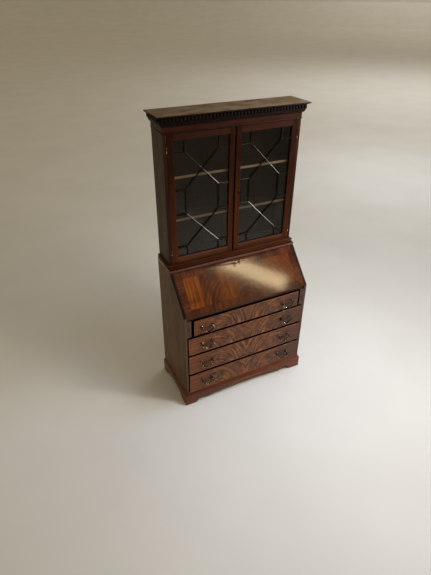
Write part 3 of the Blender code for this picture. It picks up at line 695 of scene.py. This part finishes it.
def add_ring(bm, center, major, minor, u, v, steps, sides, squash=1.0):
    """Ring in the plane of u and v; squash scales it along v."""
    normal = u.cross(v)
    rings = []
    for a in turns(steps):
        out = u * math.cos(a) + v * math.sin(a) * squash
        middle = center + out * major
        radial = out.normalized()
        ring = []
        for b in turns(sides):
            ring.append(bm.verts.new(middle + radial * minor * math.cos(b) + normal * minor * math.sin(b)))
        rings.append(ring)
    skin(bm, rings + rings[:1], caps=False)


BRASS = aged_brass()
BRASS_DARK = dark_brass()
STEEL = dark_steel("dark_steel", 0.6, rgb(220, 216, 206))
BLACK_IRON = dark_steel("black_iron", 0.05, rgb(120, 116, 108))
GLASS = pane_glass()


# ---- bureau carcass
def carcass():
    """Every board that stays still."""
    side_boards()
    bureau_boards()
    bookcase_boards()
    planks("upper_back", mahogany_inner("z", 3.0), pine("z", 1.0))
    planks("bureau_back", oak("z", 3.0), pine("z", 2.0))
    redo("gallery", mahogany("x", 9.0), 0.0006)
    for side in SIDES:
        redo("gallery_drawer_%s" % side, mahogany("x", 9.5), 0.0006)


def side_boards():
    """Bureau sides have front edges in a pale copy as painted highlight and slopes in the dark copy as painted
    shade; bookcase sides have red front edges.
    """
    for seed, side in enumerate(SIDES, 1):
        mats = [mahogany_side("z", seed), mahogany_edge("z", seed), mahogany_dark("z", seed)]
        body = split("bureau_side_%s" % side, mats, lambda f: f.normal.y < -0.9, 0.0010)
        # the slopes beside the fall get the dark copy: painted shade
        for polygon in body.data.polygons:
            if polygon.normal.z > 0.3:
                polygon.material_index = 2
        split("upper_side_%s" % side, (mahogany_upper("z", seed + 2), mahogany("z", seed + 2)),
              lambda f: f.normal.y < -0.5, 0.0010)
        # the dividers' front faces are black: painted shade in the gap beside each loper
        split("loper_divider_%s" % side, (mahogany("z", seed), painted_shade_black("z", seed)),
              lambda f: f.normal.y < -0.9)
        redo("plinth_%s" % side, mahogany_plinth("y", seed), 0.0012)


def bureau_boards():
    """Top, writing board, bottom, dust boards whose black front lip is painted shade between the drawers, and the
    plinth.
    """
    # the top face is the dark copy as painted shade under the bookcase; the edges are a lighter glossy copy as
    # painted highlight
    split("bureau_top", (mahogany_dark("x", 3.0), mahogany_gloss("x", 3.0)),
          lambda f: f.normal.z < 0.9, 0.0022)
    # the writing board's front is the pale copy: painted highlight under the closed fall
    split("writing_board", (mahogany("x", 4.0), mahogany_edge("x", 4.0)),
          lambda f: f.normal.y < -0.5, 0.0010)
    redo("bureau_bottom", oak("x", 1.0), 0.0008)
    # the front lip of each dust board is black: painted shade in the gaps between the drawers
    for k in (1, 2, 3):
        split("dust_board_%d" % k, (oak("x", 1.0 + k), painted_shade_black("x", 1.0)),
              lambda f: f.calc_center_median().y < CARCASS_FRONT + DUST_LIP, slot="oak")
    redo("plinth_front", mahogany_plinth("x", 5.0), 0.0012)
    redo("plinth_moulding", mahogany_plinth("x", 6.0), 0.0006, limit=50)


def bookcase_boards():
    """Waist moulding, bottom in the dark copy as painted shade, ceiling board, shelves with pale front edges as
    painted light and dark other faces as painted shade, frieze and cornice.
    """
    redo("waist_moulding", mahogany_stile("x", 7.0), 0.0005, limit=50)
    # the bottom inside the glazed case is the dark copy: painted shade
    redo("upper_bottom", mahogany_dark("x", 6.0), 0.0008)
    redo("upper_top", mahogany("x", 2.0), 0.0008)
    # shelves: front edges in the pale copy as painted light, other faces in the inner copy as painted shade
    for node in ("shelf_lower", "shelf_upper"):
        split(node, (mahogany_inner("x", 1.0), mahogany_shelf("x", 1.0)),
              lambda f: f.normal.y < -0.3, 0.0010)
    redo("frieze", mahogany("x", 8.0), 0.0004, limit=50)
    redo("cornice", cornice_wood("x", 1.0), 0.0004, limit=40)
    split("cornice_cap", (mahogany_cap("x", 1.0), mahogany_dark("x", 5.0)),
          lambda f: f.normal.z < 0.8, 0.0010)


def planks(node, inner, outer):
    """Upright boards with rounded joints in place of one sheet, on a backing that closes the joints."""
    lo, hi = corners(node)
    bm = bmesh.new()
    pitch = (hi.x - lo.x) / PLANKS
    for k in range(PLANKS):
        left = lo.x + k * pitch
        add_box(bm, (left + PLANK_GAP, lo.y, lo.z), (left + pitch - PLANK_GAP, hi.y, hi.z))
    soften(bm, 0.0018)
    inset = Vector((0.002, 0.0024, 0.002))
    add_box(bm, lo + inset, hi - inset)
    bm.normal_update()
    for face in bm.faces:
        face.material_index = 0 if face.normal.y < 0.3 else 1
    stand_in(node, bm, (inner, outer), "boards")


# ---- doors
def doors():
    """Frames, glazing bars and panes, then what hangs them and closes the gap between them."""
    for side, seed in zip(SIDES, (10.0, 12.0)):
        door_frame(side, seed)
        astragals(side)
        glass = NODES["door_%s_glass" % side]
        glass.data.materials.clear()
        glass.data.materials.append(GLASS)
    meeting_strip()
    for side in SIDES:
        hinge_knuckles(side)


def door_frame(side, seed):
    """Stiles grained upright and rails across, the bottom rail a lighter copy that is partly painted light, and
    black painted shade in the joints round the door and the reveals round the glass.
    """
    node = "door_%s_frame" % side
    lo, hi = corners(node)
    light_lo, light_hi = corners("door_%s_astragals" % side)
    bm = from_node(node)
    soften(bm, 0.0007)
    for x in (light_lo.x, light_hi.x):
        geom = list(bm.verts) + list(bm.edges) + list(bm.faces)
        bmesh.ops.bisect_plane(bm, geom=geom, plane_co=(x, 0, 0), plane_no=(1, 0, 0))
    bm.normal_update()
    for face in bm.faces:
        middle = face.calc_center_median()
        face.material_index = 0
        if light_lo.x < middle.x < light_hi.x:
            face.material_index = 2 if middle.z < lo.z + RAIL_LIMIT else 1
        # faces that look into the gaps and rebates round the glass: painted shade
        if face.normal.y > -0.3 and lo.y + 0.003 < middle.y < hi.y - 0.0015:
            face.material_index = 3
    mats = [mahogany_stile("z", seed), mahogany("x", 13.0), mahogany_rail("x", 14.0), painted_shade_black("z", 1.0)]
    stand_in(node, bm, mats)


def meeting_strip():
    """Strip on the left door, set back in the gap between the doors and coloured black as painted shade."""
    bm = bmesh.new()
    add_box(bm, (DOORL_HI.x - 0.0004, DOORL_LO.y + 0.0075, DOORL_LO.z + 0.002),
            (DOOR_LO.x - 0.0012, DOORL_HI.y - 0.0005, DOORL_HI.z - 0.002))
    soften(bm, 0.0010, 3)
    finish_mesh("meeting_strip", bm, painted_shade_black("z", 2.0), "door_left")


def hinge_knuckles(side):
    """Two hinges of three knuckles each, with rounded tips."""
    pivot = pivot_of("door_%s_hinge" % side)
    front = DOOR_LO.y + 0.0006
    knuckle = [(-0.0083, 0.0018), (-0.0080, 0.0026), (0.0080, 0.0026), (0.0083, 0.0018)]
    tip = [(0, 0.0014), (0.0012, 0.0020), (0.0024, 0.0014), (0.0028, 0.0)]
    bm = bmesh.new()
    for z in (DOOR_LO.z + HINGE_INSET, DOOR_HI.z - HINGE_INSET):
        for part in (-1, 0, 1):
            add_lathe(bm, knuckle, (pivot.x, front, z + part * KNUCKLE_PITCH), (0, 0, 1), 16)
        for end in (-1, 1):
            add_lathe(bm, tip, (pivot.x, front, z + end * (1.5 * KNUCKLE_PITCH - 0.0002)), (0, 0, end), 14)
    finish_mesh("door_%s_hinge_knuckles" % side, bm, BRASS_DARK, ROOT)


def astragals(side):
    """Thirteen-pane glazing bars with a rounded face."""
    node = "door_%s_astragals" % side
    lo, hi = corners(node)
    wide, tall = hi.x - lo.x, hi.z - lo.z
    mid = (lo.x + hi.x) / 2
    b0, b1, b2, b3 = [lo.z + tall * share for share in BAR_HEIGHTS]
    low, high = (b0 + b1) / 2, (b2 + b3) / 2
    runs = []
    for rim, post in ((lo.x, lo.x + wide * BAR_SIDE), (hi.x, hi.x - wide * BAR_SIDE)):
        runs += [((rim, b3), (post, b3)), ((post, hi.z), (post, b3)), ((post, b3), (mid, high)),
                 ((mid, high), (post, b2)), ((post, b2), (rim, b2)), ((post, b2), (post, b1)),
                 ((post, b1), (rim, b1)), ((post, b1), (mid, low)), ((mid, low), (post, b0)),
                 ((post, b0), (rim, b0)), ((post, b0), (post, lo.z))]
    half = [(0.52, hi.y), (1.0, hi.y - 0.0022), (1.0, lo.y + 0.0042), (0.62, lo.y + 0.0032),
            (0.60, lo.y + 0.0016), (0.34, lo.y + 0.0003)]
    profile = [(-o, y) for o, y in half] + [(0.0, lo.y - 0.0001)] + half[::-1]
    bm = bmesh.new()
    for (ax, az), (bx, bz) in runs:
        ends = Vector((ax, 0, az)), Vector((bx, 0, bz))
        ahead = (ends[1] - ends[0]).normalized()
        over = Vector((ahead.z, 0, -ahead.x)) * (BAR_W / 2)
        rings = []
        for point, push in zip(ends, (-BAR_LAP, BAR_LAP)):
            if not in_rim(point, lo, hi):
                point = point + ahead * push
            rings.append([bm.verts.new(point + over * o + Vector((0, y, 0))) for o, y in profile])
        skin(bm, rings)
    stand_in(node, bm, mahogany_bar("z", 3.0), ending="bars", angle=50)


def in_rim(point, lo, hi):
    """True where a bar ends at the door's frame."""
    gaps = (point.x - lo.x, point.x - hi.x, point.z - lo.z, point.z - hi.z)
    return min(abs(gap) for gap in gaps) < 1e-6


# ---- keys
def keys():
    """Both keys, and the tag that hangs from the door's."""
    make_key("door_key", Vector((0, 0, 1)))
    make_key("fall_key", UP_SLOPE)


def make_key(node, up):
    """Shaft with turned collars, and a ring bow that is longest along up."""
    turn = joint(node + "_turn")
    out = Vector(turn["axis"])
    if out.y > 0.2 or out.z < -0.2:
        out = -out
    start = pivot_of(node + "_turn")
    bow = start + out * BOW_REACH
    shaft = [(-0.010, 0.0021), (0.0285, 0.0022), (0.0290, 0.0033), (0.0300, 0.0036), (0.0310, 0.0033),
             (0.0318, 0.0024), (0.0330, 0.0034), (0.0340, 0.0030), (0.0352, 0.0022), (0.0365, 0.0019)]
    bm = bmesh.new()
    add_lathe(bm, shaft, start, out, 18)
    add_ring(bm, bow, 0.0100, 0.0027, out, up, 36, 12, 1.25)
    stand_in(node, bm, BLACK_IRON)
    if node == "door_key":
        key_tag(bow, out, up)


def key_tag(bow, out, up):
    """A wire ring in the bow, with a plain oval tag hanging from it."""
    across = out.cross(up).normalized()
    wire = bow - up * 0.0175
    tag = wire - up * 0.0190
    bm = bmesh.new()
    add_ring(bm, wire, 0.0085, 0.0008, across, up, 32, 8)
    rings = []
    for depth, grow in ((-0.0006, 0.90), (-0.0004, 1.0), (0.0004, 1.0), (0.0006, 0.90)):
        ring = []
        for a in turns(28):
            point = tag + out * math.cos(a) * 0.0068 * grow + up * math.sin(a) * 0.0108 * grow
            ring.append(bm.verts.new(point + across * depth))
        rings.append(ring)
    skin(bm, rings)
    finish_mesh("door_key_tag", bm, BRASS_DARK, "door_key")


# ---- fall
def fall():
    """The fall's panel, leather, lock plate and hinges."""
    half = corners("fall_panel")[1].x
    fall_panel(half)
    fall_leather()
    redo("fall_lock_plate", STEEL, 0.0002)
    fall_hinges(half - LEAF_INSET)


def fall_panel(half):
    """Veneer on the outer face, a lower edge in the pale copy as painted highlight, plain wood elsewhere."""
    bm = from_node("fall_panel")
    soften(bm, 0.0010)
    bm.normal_update()
    for face in bm.faces:
        local = UNTILT @ face.calc_center_median()
        outer = local.z > FALL_T - 0.0006 and face.normal.dot(OUT_OF_SLOPE) > 0.5
        face.material_index = 0 if outer else 1
        # the lower edge: pale copy as painted highlight
        if local.y < 0.002 and local.z > FALL_T * 0.4:
            face.material_index = 2
    mats = [fall_veneer(FALL_LENGTH, half), mahogany("x", 15.0), mahogany_edge("x", 15.0)]
    stand_in("fall_panel", bm, mats)


def fall_leather():
    """Tooled writing leather on the inner face."""
    points = [UNTILT @ vertex.co for vertex in NODES["fall_leather"].data.vertices]
    foot, head = min(p.y for p in points), max(p.y for p in points)
    leather = tooled_leather(corners("fall_leather")[1].x, foot, head)
    redo("fall_leather", leather, 0.0004)


def fall_hinges(reach):
    """Hinge leaves let into the fall, with their screws, and into the writing board."""
    screw = [(-0.0003, 0.0028), (0.0003, 0.0028), (0.0007, 0.0020), (0.0005, 0.0)]
    places = (-reach, reach)
    bm = bmesh.new()
    for x in places:
        add_box(bm, (x - LEAF_HALF, 0.004, -0.0002), (x + LEAF_HALF, 0.026, 0.0007), TILT)
    soften(bm, 0.0002, 1)
    for x in places:
        for k in (-1, 0, 1):
            add_lathe(bm, screw, TILT @ Vector((x + k * 0.020, 0.016, 0.0)), -OUT_OF_SLOPE, 16)
    finish_mesh("fall_hinge_leaves", bm, BRASS, "fall")
    bm = bmesh.new()
    for x in places:
        add_box(bm, (x - LEAF_HALF, BOARD_LO.y + 0.004, BOARD_HI.z - 0.0006),
                (x + LEAF_HALF, BOARD_LO.y + 0.026, BOARD_HI.z + 0.0001))
    soften(bm, 0.0001, 1)
    finish_mesh("board_hinge_leaves", bm, BRASS, ROOT)


# ---- lopers
def lopers():
    """The two supports of the fall and their turned knobs."""
    profile = [(0.0, 0.0046), (0.0006, 0.0050), (0.0014, 0.0036), (0.0040, 0.0026), (0.0060, 0.0034),
               (0.0078, 0.0056), (0.0100, 0.0064), (0.0124, 0.0056), (0.0142, 0.0032), (0.0150, 0.0)]
    for side in SIDES:
        redo("loper_%s" % side, mahogany_edge("z", 5.0), 0.0012)
        node = "loper_knob_%s" % side
        lo, hi = corners(node)
        middle = (lo + hi) / 2
        bm = bmesh.new()
        add_lathe(bm, profile, (middle.x, hi.y, middle.z), (0, -1, 0), 28)
        stand_in(node, bm, BRASS_DARK)


# ---- drawers and handles
def drawers():
    """The four long drawers: front, cock bead, box and handles."""
    for k in (1, 2, 3, 4):
        node = "drawer_%d_front" % k
        lo, hi = corners(node)
        face = min(v.co.y for v in NODES[node].data.vertices if abs(v.co.x) > hi.x - 0.001)
        lo, hi = lo + FRONT_INSET_LO, hi - FRONT_INSET_HI
        pivot = pivot_of("bail_%d_left_swing" % k)
        handle = Vector((abs(pivot.x), face, pivot.z))
        drawer_front(k, lo, hi, handle)
        cock_bead(k, lo, hi, face)
        redo("drawer_%d_box" % k, oak("y", 4.0 + k), 0.0010)
        rosettes(k, handle)
        for side, sign in zip(SIDES, (-1, 1)):
            bail("bail_%d_%s" % (k, side), Vector((sign * handle.x, face - BAIL_REACH, handle.z)))


def drawer_front(k, lo, hi, handle):
    """Veneered face inside the bead, on a slightly larger core whose edges are black painted shade in the gaps."""
    node = "drawer_%d_front" % k
    bm = bmesh.new()
    for margin, front in ((BEAD, handle.y), (BEAD_GAP, handle.y + 0.006)):
        add_box(bm, (lo.x + margin, front, lo.z + margin), (hi.x - margin, hi.y, hi.z - margin))
    soften(bm, 0.0004, 1)
    bm.normal_update()
    # faces that do not show straight ahead get the black painted shade
    for face in bm.faces:
        shown = face.normal.y < -0.5 and face.calc_center_median().y < handle.y + 0.001
        face.material_index = 0 if shown else 1
    mats = [flame(k, lo.z, handle.x, handle.z), painted_shade_black("x", 2.0)]
    stand_in(node, bm, mats)


def cock_bead(k, lo, hi, face):
    """Thin rounded bead round a drawer front, a little proud of it."""
    shape = [(0.0, 0.0064), (0.0, 0.0004), (0.0007, -BEAD_RISE * 0.75), (BEAD * 0.5, -BEAD_RISE),
             (BEAD - 0.0007, -BEAD_RISE * 0.75), (BEAD, 0.0004), (BEAD, 0.0064)]
    bm = bmesh.new()
    rings = []
    for inset, depth in shape:
        inset = inset * 0.75 + BEAD_GAP
        x0, x1, z0, z1 = lo.x + inset, hi.x - inset, lo.z + inset, hi.z - inset
        places = ((x0, z0), (x1, z0), (x1, z1), (x0, z1))
        rings.append([bm.verts.new((x, face + depth, z)) for x, z in places])
    skin(bm, rings + rings[:1], caps=False)
    bmesh.ops.recalc_face_normals(bm, faces=bm.faces)
    # the bead's sides, facing into the gaps, are black painted shade
    for side in bm.faces:
        side.material_index = 1 if abs(side.normal.y) < 0.3 else 0
    finish_mesh("drawer_%d_bead" % k, bm, [bead_wood("x", 1.0), painted_shade_black("x", 3.0)], "drawer_%d" % k, angle=60)


def rosettes(k, handle):
    """Turned backplates with the posts that carry the bails."""
    profile = [(-0.0006, 0.0130), (0.0005, 0.0133), (0.0014, 0.0128), (0.0020, 0.0112), (0.0016, 0.0096),
               (0.0021, 0.0084), (0.0034, 0.0076), (0.0043, 0.0060), (0.0052, 0.0042), (0.0066, 0.0036),
               (0.0110, 0.0035), (0.0132, 0.0041), (0.0152, 0.0053), (0.0178, 0.0059), (0.0202, 0.0053),
               (0.0222, 0.0035), (0.0232, 0.0016), (0.0235, 0.0)]
    bm = bmesh.new()
    for sign in (-1, 1):
        for end in (-1, 1):
            add_lathe(bm, profile, (sign * handle.x + end * POST_X, handle.y, handle.z), (0, -1, 0), 32)
    finish_mesh("drawer_%d_rosettes" % k, bm, BRASS_DARK, "drawer_%d" % k, angle=55)


def bail(node, middle):
    """Swan-neck bail round middle: (x, z, radius) from a post down to the grip, and mirrored."""
    half = [(0.0392, 0.0, 0.0026), (0.0424, 0.0, 0.0029), (0.0446, -0.0012, 0.0033),
            (0.0456, -0.0045, 0.0037), (0.0450, -0.0098, 0.0040), (0.0418, -0.0150, 0.0042),
            (0.0352, -0.0192, 0.0042), (0.0272, -0.0230, 0.0042), (0.0198, -0.0288, 0.0044),
            (0.0112, -0.0338, 0.0047), (0.0050, -0.0352, 0.0051)]
    rows = half + [(0.0, -0.0355, 0.0053)] + [(-x, z, radius) for x, z, radius in reversed(half)]
    points = [middle + Vector((x, 0, z)) for x, z, radius in rows]
    path, widths = smooth_path(points, [radius for x, z, radius in rows], 4)
    bm = bmesh.new()
    add_tube(bm, path, widths, 14)
    for end in (-1, 1):
        lean = Vector((end * 0.55, 0, 0.83)).normalized()
        place = middle + Vector((end * 0.0150, 0, -0.0322))
        add_ring(bm, place, 0.0024, 0.0007, Vector((0, 1, 0)), lean, 18, 8)
    stand_in(node, bm, BRASS_DARK, angle=55)


# ---- gallery trim
def gallery_trim():
    """Valances over the pigeonholes, then a bead and a knob on each small drawer."""
    lo, hi = corners("gallery")
    front, top = lo.y + 0.003, hi.z - GALLERY_WALL
    bay = GALLERY_BAY + GALLERY_WALL / 2
    pitch = (hi.x - GALLERY_WALL - bay) / HOLES
    bm = bmesh.new()
    for sign in (-1, 1):
        for k in range(HOLES):
            near = bay + k * pitch
            far = near + pitch - (GALLERY_WALL if k < HOLES - 1 else 0)
            valance(bm, sign * near, sign * far, front, top, 0.016)
    middle = GALLERY_BAY - GALLERY_WALL / 2
    valance(bm, -middle, middle, front, top, 0.020)
    soften(bm, 0.0004, 1, 50)
    finish_mesh("gallery_valances", bm, mahogany("x", 10.0), ROOT)
    for side in SIDES:
        gallery_drawer_trim("gallery_drawer_%s" % side)


def gallery_drawer_trim(node):
    """Bead strips and a turned knob."""
    lo, hi = corners(node)
    front = min(v.co.y for v in NODES[node].data.vertices if v.co.z > hi.z - 0.002)
    z0, z1 = lo.z + 0.0006, hi.z - 0.0006
    strip = 0.0022
    bm = bmesh.new()
    for xa, xb, za, zb in ((lo.x, hi.x, z0, z0 + strip), (lo.x, hi.x, z1 - strip, z1),
                           (lo.x, lo.x + strip, z0, z1), (hi.x - strip, hi.x, z0, z1)):
        add_box(bm, (xa, front - 0.0007, za), (xb, front + 0.001, zb))
    soften(bm, 0.0003, 1)
    finish_mesh(node + "_bead", bm, mahogany_dark("x", 4.0), node)
    profile = [(-0.0003, 0.0048), (0.0006, 0.0050), (0.0014, 0.0034), (0.0030, 0.0026), (0.0045, 0.0044),
               (0.0070, 0.0056), (0.0092, 0.0046), (0.0104, 0.0024), (0.0107, 0.0)]
    middle = (lo + hi) / 2
    bm = bmesh.new()
    add_lathe(bm, profile, (middle.x, front, middle.z), (0, -1, 0), 24)
    finish_mesh(node + "_knob", bm, BRASS, node)


def valance(bm, xa, xb, y, top, drop):
    """Small shaped arch under the top of a pigeonhole."""
    x0, x1 = sorted((xa, xb))
    steps = 20
    outline = []
    for k in range(steps + 1):
        t = k / steps
        u = abs(2 * t - 1)
        rise = 1 - u ** 2.2
        cusp = 0.25 * max(0.0, 1 - abs(u - 0.62) / 0.16)
        outline.append((x0 + (x1 - x0) * t, top - drop * (1 - 0.72 * rise + cusp * 0.4)))
    outline += [(x1, top), (x0, top)]
    front = [bm.verts.new((x, y, z)) for x, z in outline]
    back = [bm.verts.new(v.co + Vector((0, 0.005, 0))) for v in front]
    bm.faces.new(front)
    bm.faces.new(back[::-1])
    bridge(bm, front, back)


# ---- stage, light, camera
def stage():
    """Pale round floor, so wide that its raised rim lies behind everything."""
    g = Graph("studio_floor")
    fine = g.noise(g.coord, 60.0, 4.0, 0.6)
    soft = g.noise(g.coord, 1.3, 3.0, 0.5)
    color = g.mix(g.span(soft, 0.35, 0.65), rgb(226, 226, 226), rgb(231, 231, 231))
    g.surface(color, g.span(fine, 0.3, 0.7, 0.6, 0.75), Specular_IOR_Level=0.1)
    bm = bmesh.new()
    rings = []
    for radius, height in ((6.0, 0.0), (30.0, 0.0), (36.0, 0.5), (41.0, 2.0), (44.0, 5.0), (45.0, 9.0)):
        rings.append([bm.verts.new((radius * math.cos(a), radius * math.sin(a), height)) for a in turns(96)])
    bm.faces.new(rings[0])
    skin(bm, rings, caps=False)
    mesh = bpy.data.meshes.new("floor")
    mesh.materials.append(g.mat)
    bm.to_mesh(mesh)
    bm.free()
    floor = linked("floor", mesh)
    floor.location = (0, 0, CAD_BOX[0][2])


def area(name, place, target, size, power, color, run=(1, 0, 0), diffuse=True, glossy=True):
    """Area light at place facing target, its long side along run."""
    data = bpy.data.lights.new(name, "AREA")
    data.shape = "RECTANGLE"
    data.size, data.size_y = size
    data.energy = power
    data.color = color
    obj = linked(name, data)
    ahead = (Vector(target) - Vector(place)).normalized()
    run = Vector(run)
    run = (run - ahead * run.dot(ahead)).normalized()
    matrix = Matrix((run, (-ahead).cross(run), -ahead)).transposed().to_4x4()
    matrix.translation = Vector(place)
    obj.matrix_world = matrix
    obj.visible_diffuse = diffuse
    obj.visible_glossy = glossy


def lights():
    """A warm dim sky, a narrow strip that shines on the fall, soft light on the desk, and floor fills."""
    world = bpy.data.worlds.new("studio")
    bpy.context.scene.world = world
    world.use_nodes = True
    sky = world.node_tree.nodes["Background"]
    sky.inputs[0].default_value = (1.0, 0.82, 0.52, 1.0)
    sky.inputs[1].default_value = 0.31
    area("strip_light", (1.16, -1.44, 2.6), (0.07, -0.05, 0.88), (0.98, 0.17), 12, (1.0, 0.80, 0.46),
         run=(0.85, -0.55, 0), diffuse=False)
    area("strip_soft", (1.22, -1.52, 2.6), (0.0, -0.1, 0.8), (1.1, 0.28), 30, (1.0, 0.85, 0.60),
         run=(0.83, -0.56, 0), glossy=False)
    area("side_window", (4.2, -1.4, 1.7), (0.0, 0.0, 1.3), (0.7, 1.4), 190, (1.0, 0.98, 0.95), diffuse=False)
    area("right_fill", (4.4, 2.6, 2.6), (4.4, 2.6, 0.0), (2.2, 2.2), 34, (0.90, 0.95, 1.0), glossy=False)
    area("soft_key", (0.75, -0.75, 2.55), (0.7, -0.4, 0.0), (1.5, 1.5), 42, (0.68, 0.80, 1.0), glossy=False)
    area("back_fill", (11.0, 7.0, 6.0), (11.0, 7.0, 0.0), (9.0, 9.0), 330, (0.98, 0.96, 0.92), glossy=False)
    area("far_fill", (36.0, 26.0, 14.0), (36.0, 26.0, 0.0), (20.0, 20.0), 1050, (1.0, 0.95, 0.84),
         glossy=False)


def camera():
    """The photo's camera, fitted to the edges of the desk."""
    data = bpy.data.cameras.new("camera")
    data.sensor_width = SENSOR_MM
    data.sensor_fit = "AUTO"
    data.lens = LENS_MM
    data.clip_end = 300.0
    obj = linked("camera", data)
    level = math.cos(CAMERA_PITCH)
    ahead = Vector((math.sin(CAMERA_YAW) * level, math.cos(CAMERA_YAW) * level, math.sin(CAMERA_PITCH)))
    right = Vector((math.cos(CAMERA_YAW), -math.sin(CAMERA_YAW), 0))
    up = right.cross(ahead)
    rolled_right = right * math.cos(CAMERA_ROLL) + up * math.sin(CAMERA_ROLL)
    rolled_up = up * math.cos(CAMERA_ROLL) - right * math.sin(CAMERA_ROLL)
    matrix = Matrix((rolled_right, rolled_up, -ahead)).transposed().to_4x4()
    matrix.translation = Vector(CAMERA_PLACE) + Vector((0, BACK, 0))
    obj.matrix_world = matrix
    bpy.context.scene.camera = obj


bpy.context.scene.view_settings.view_transform = "Standard"
camera()
carcass()
doors()
keys()
fall()
lopers()
drawers()
gallery_trim()
stage()
lights()
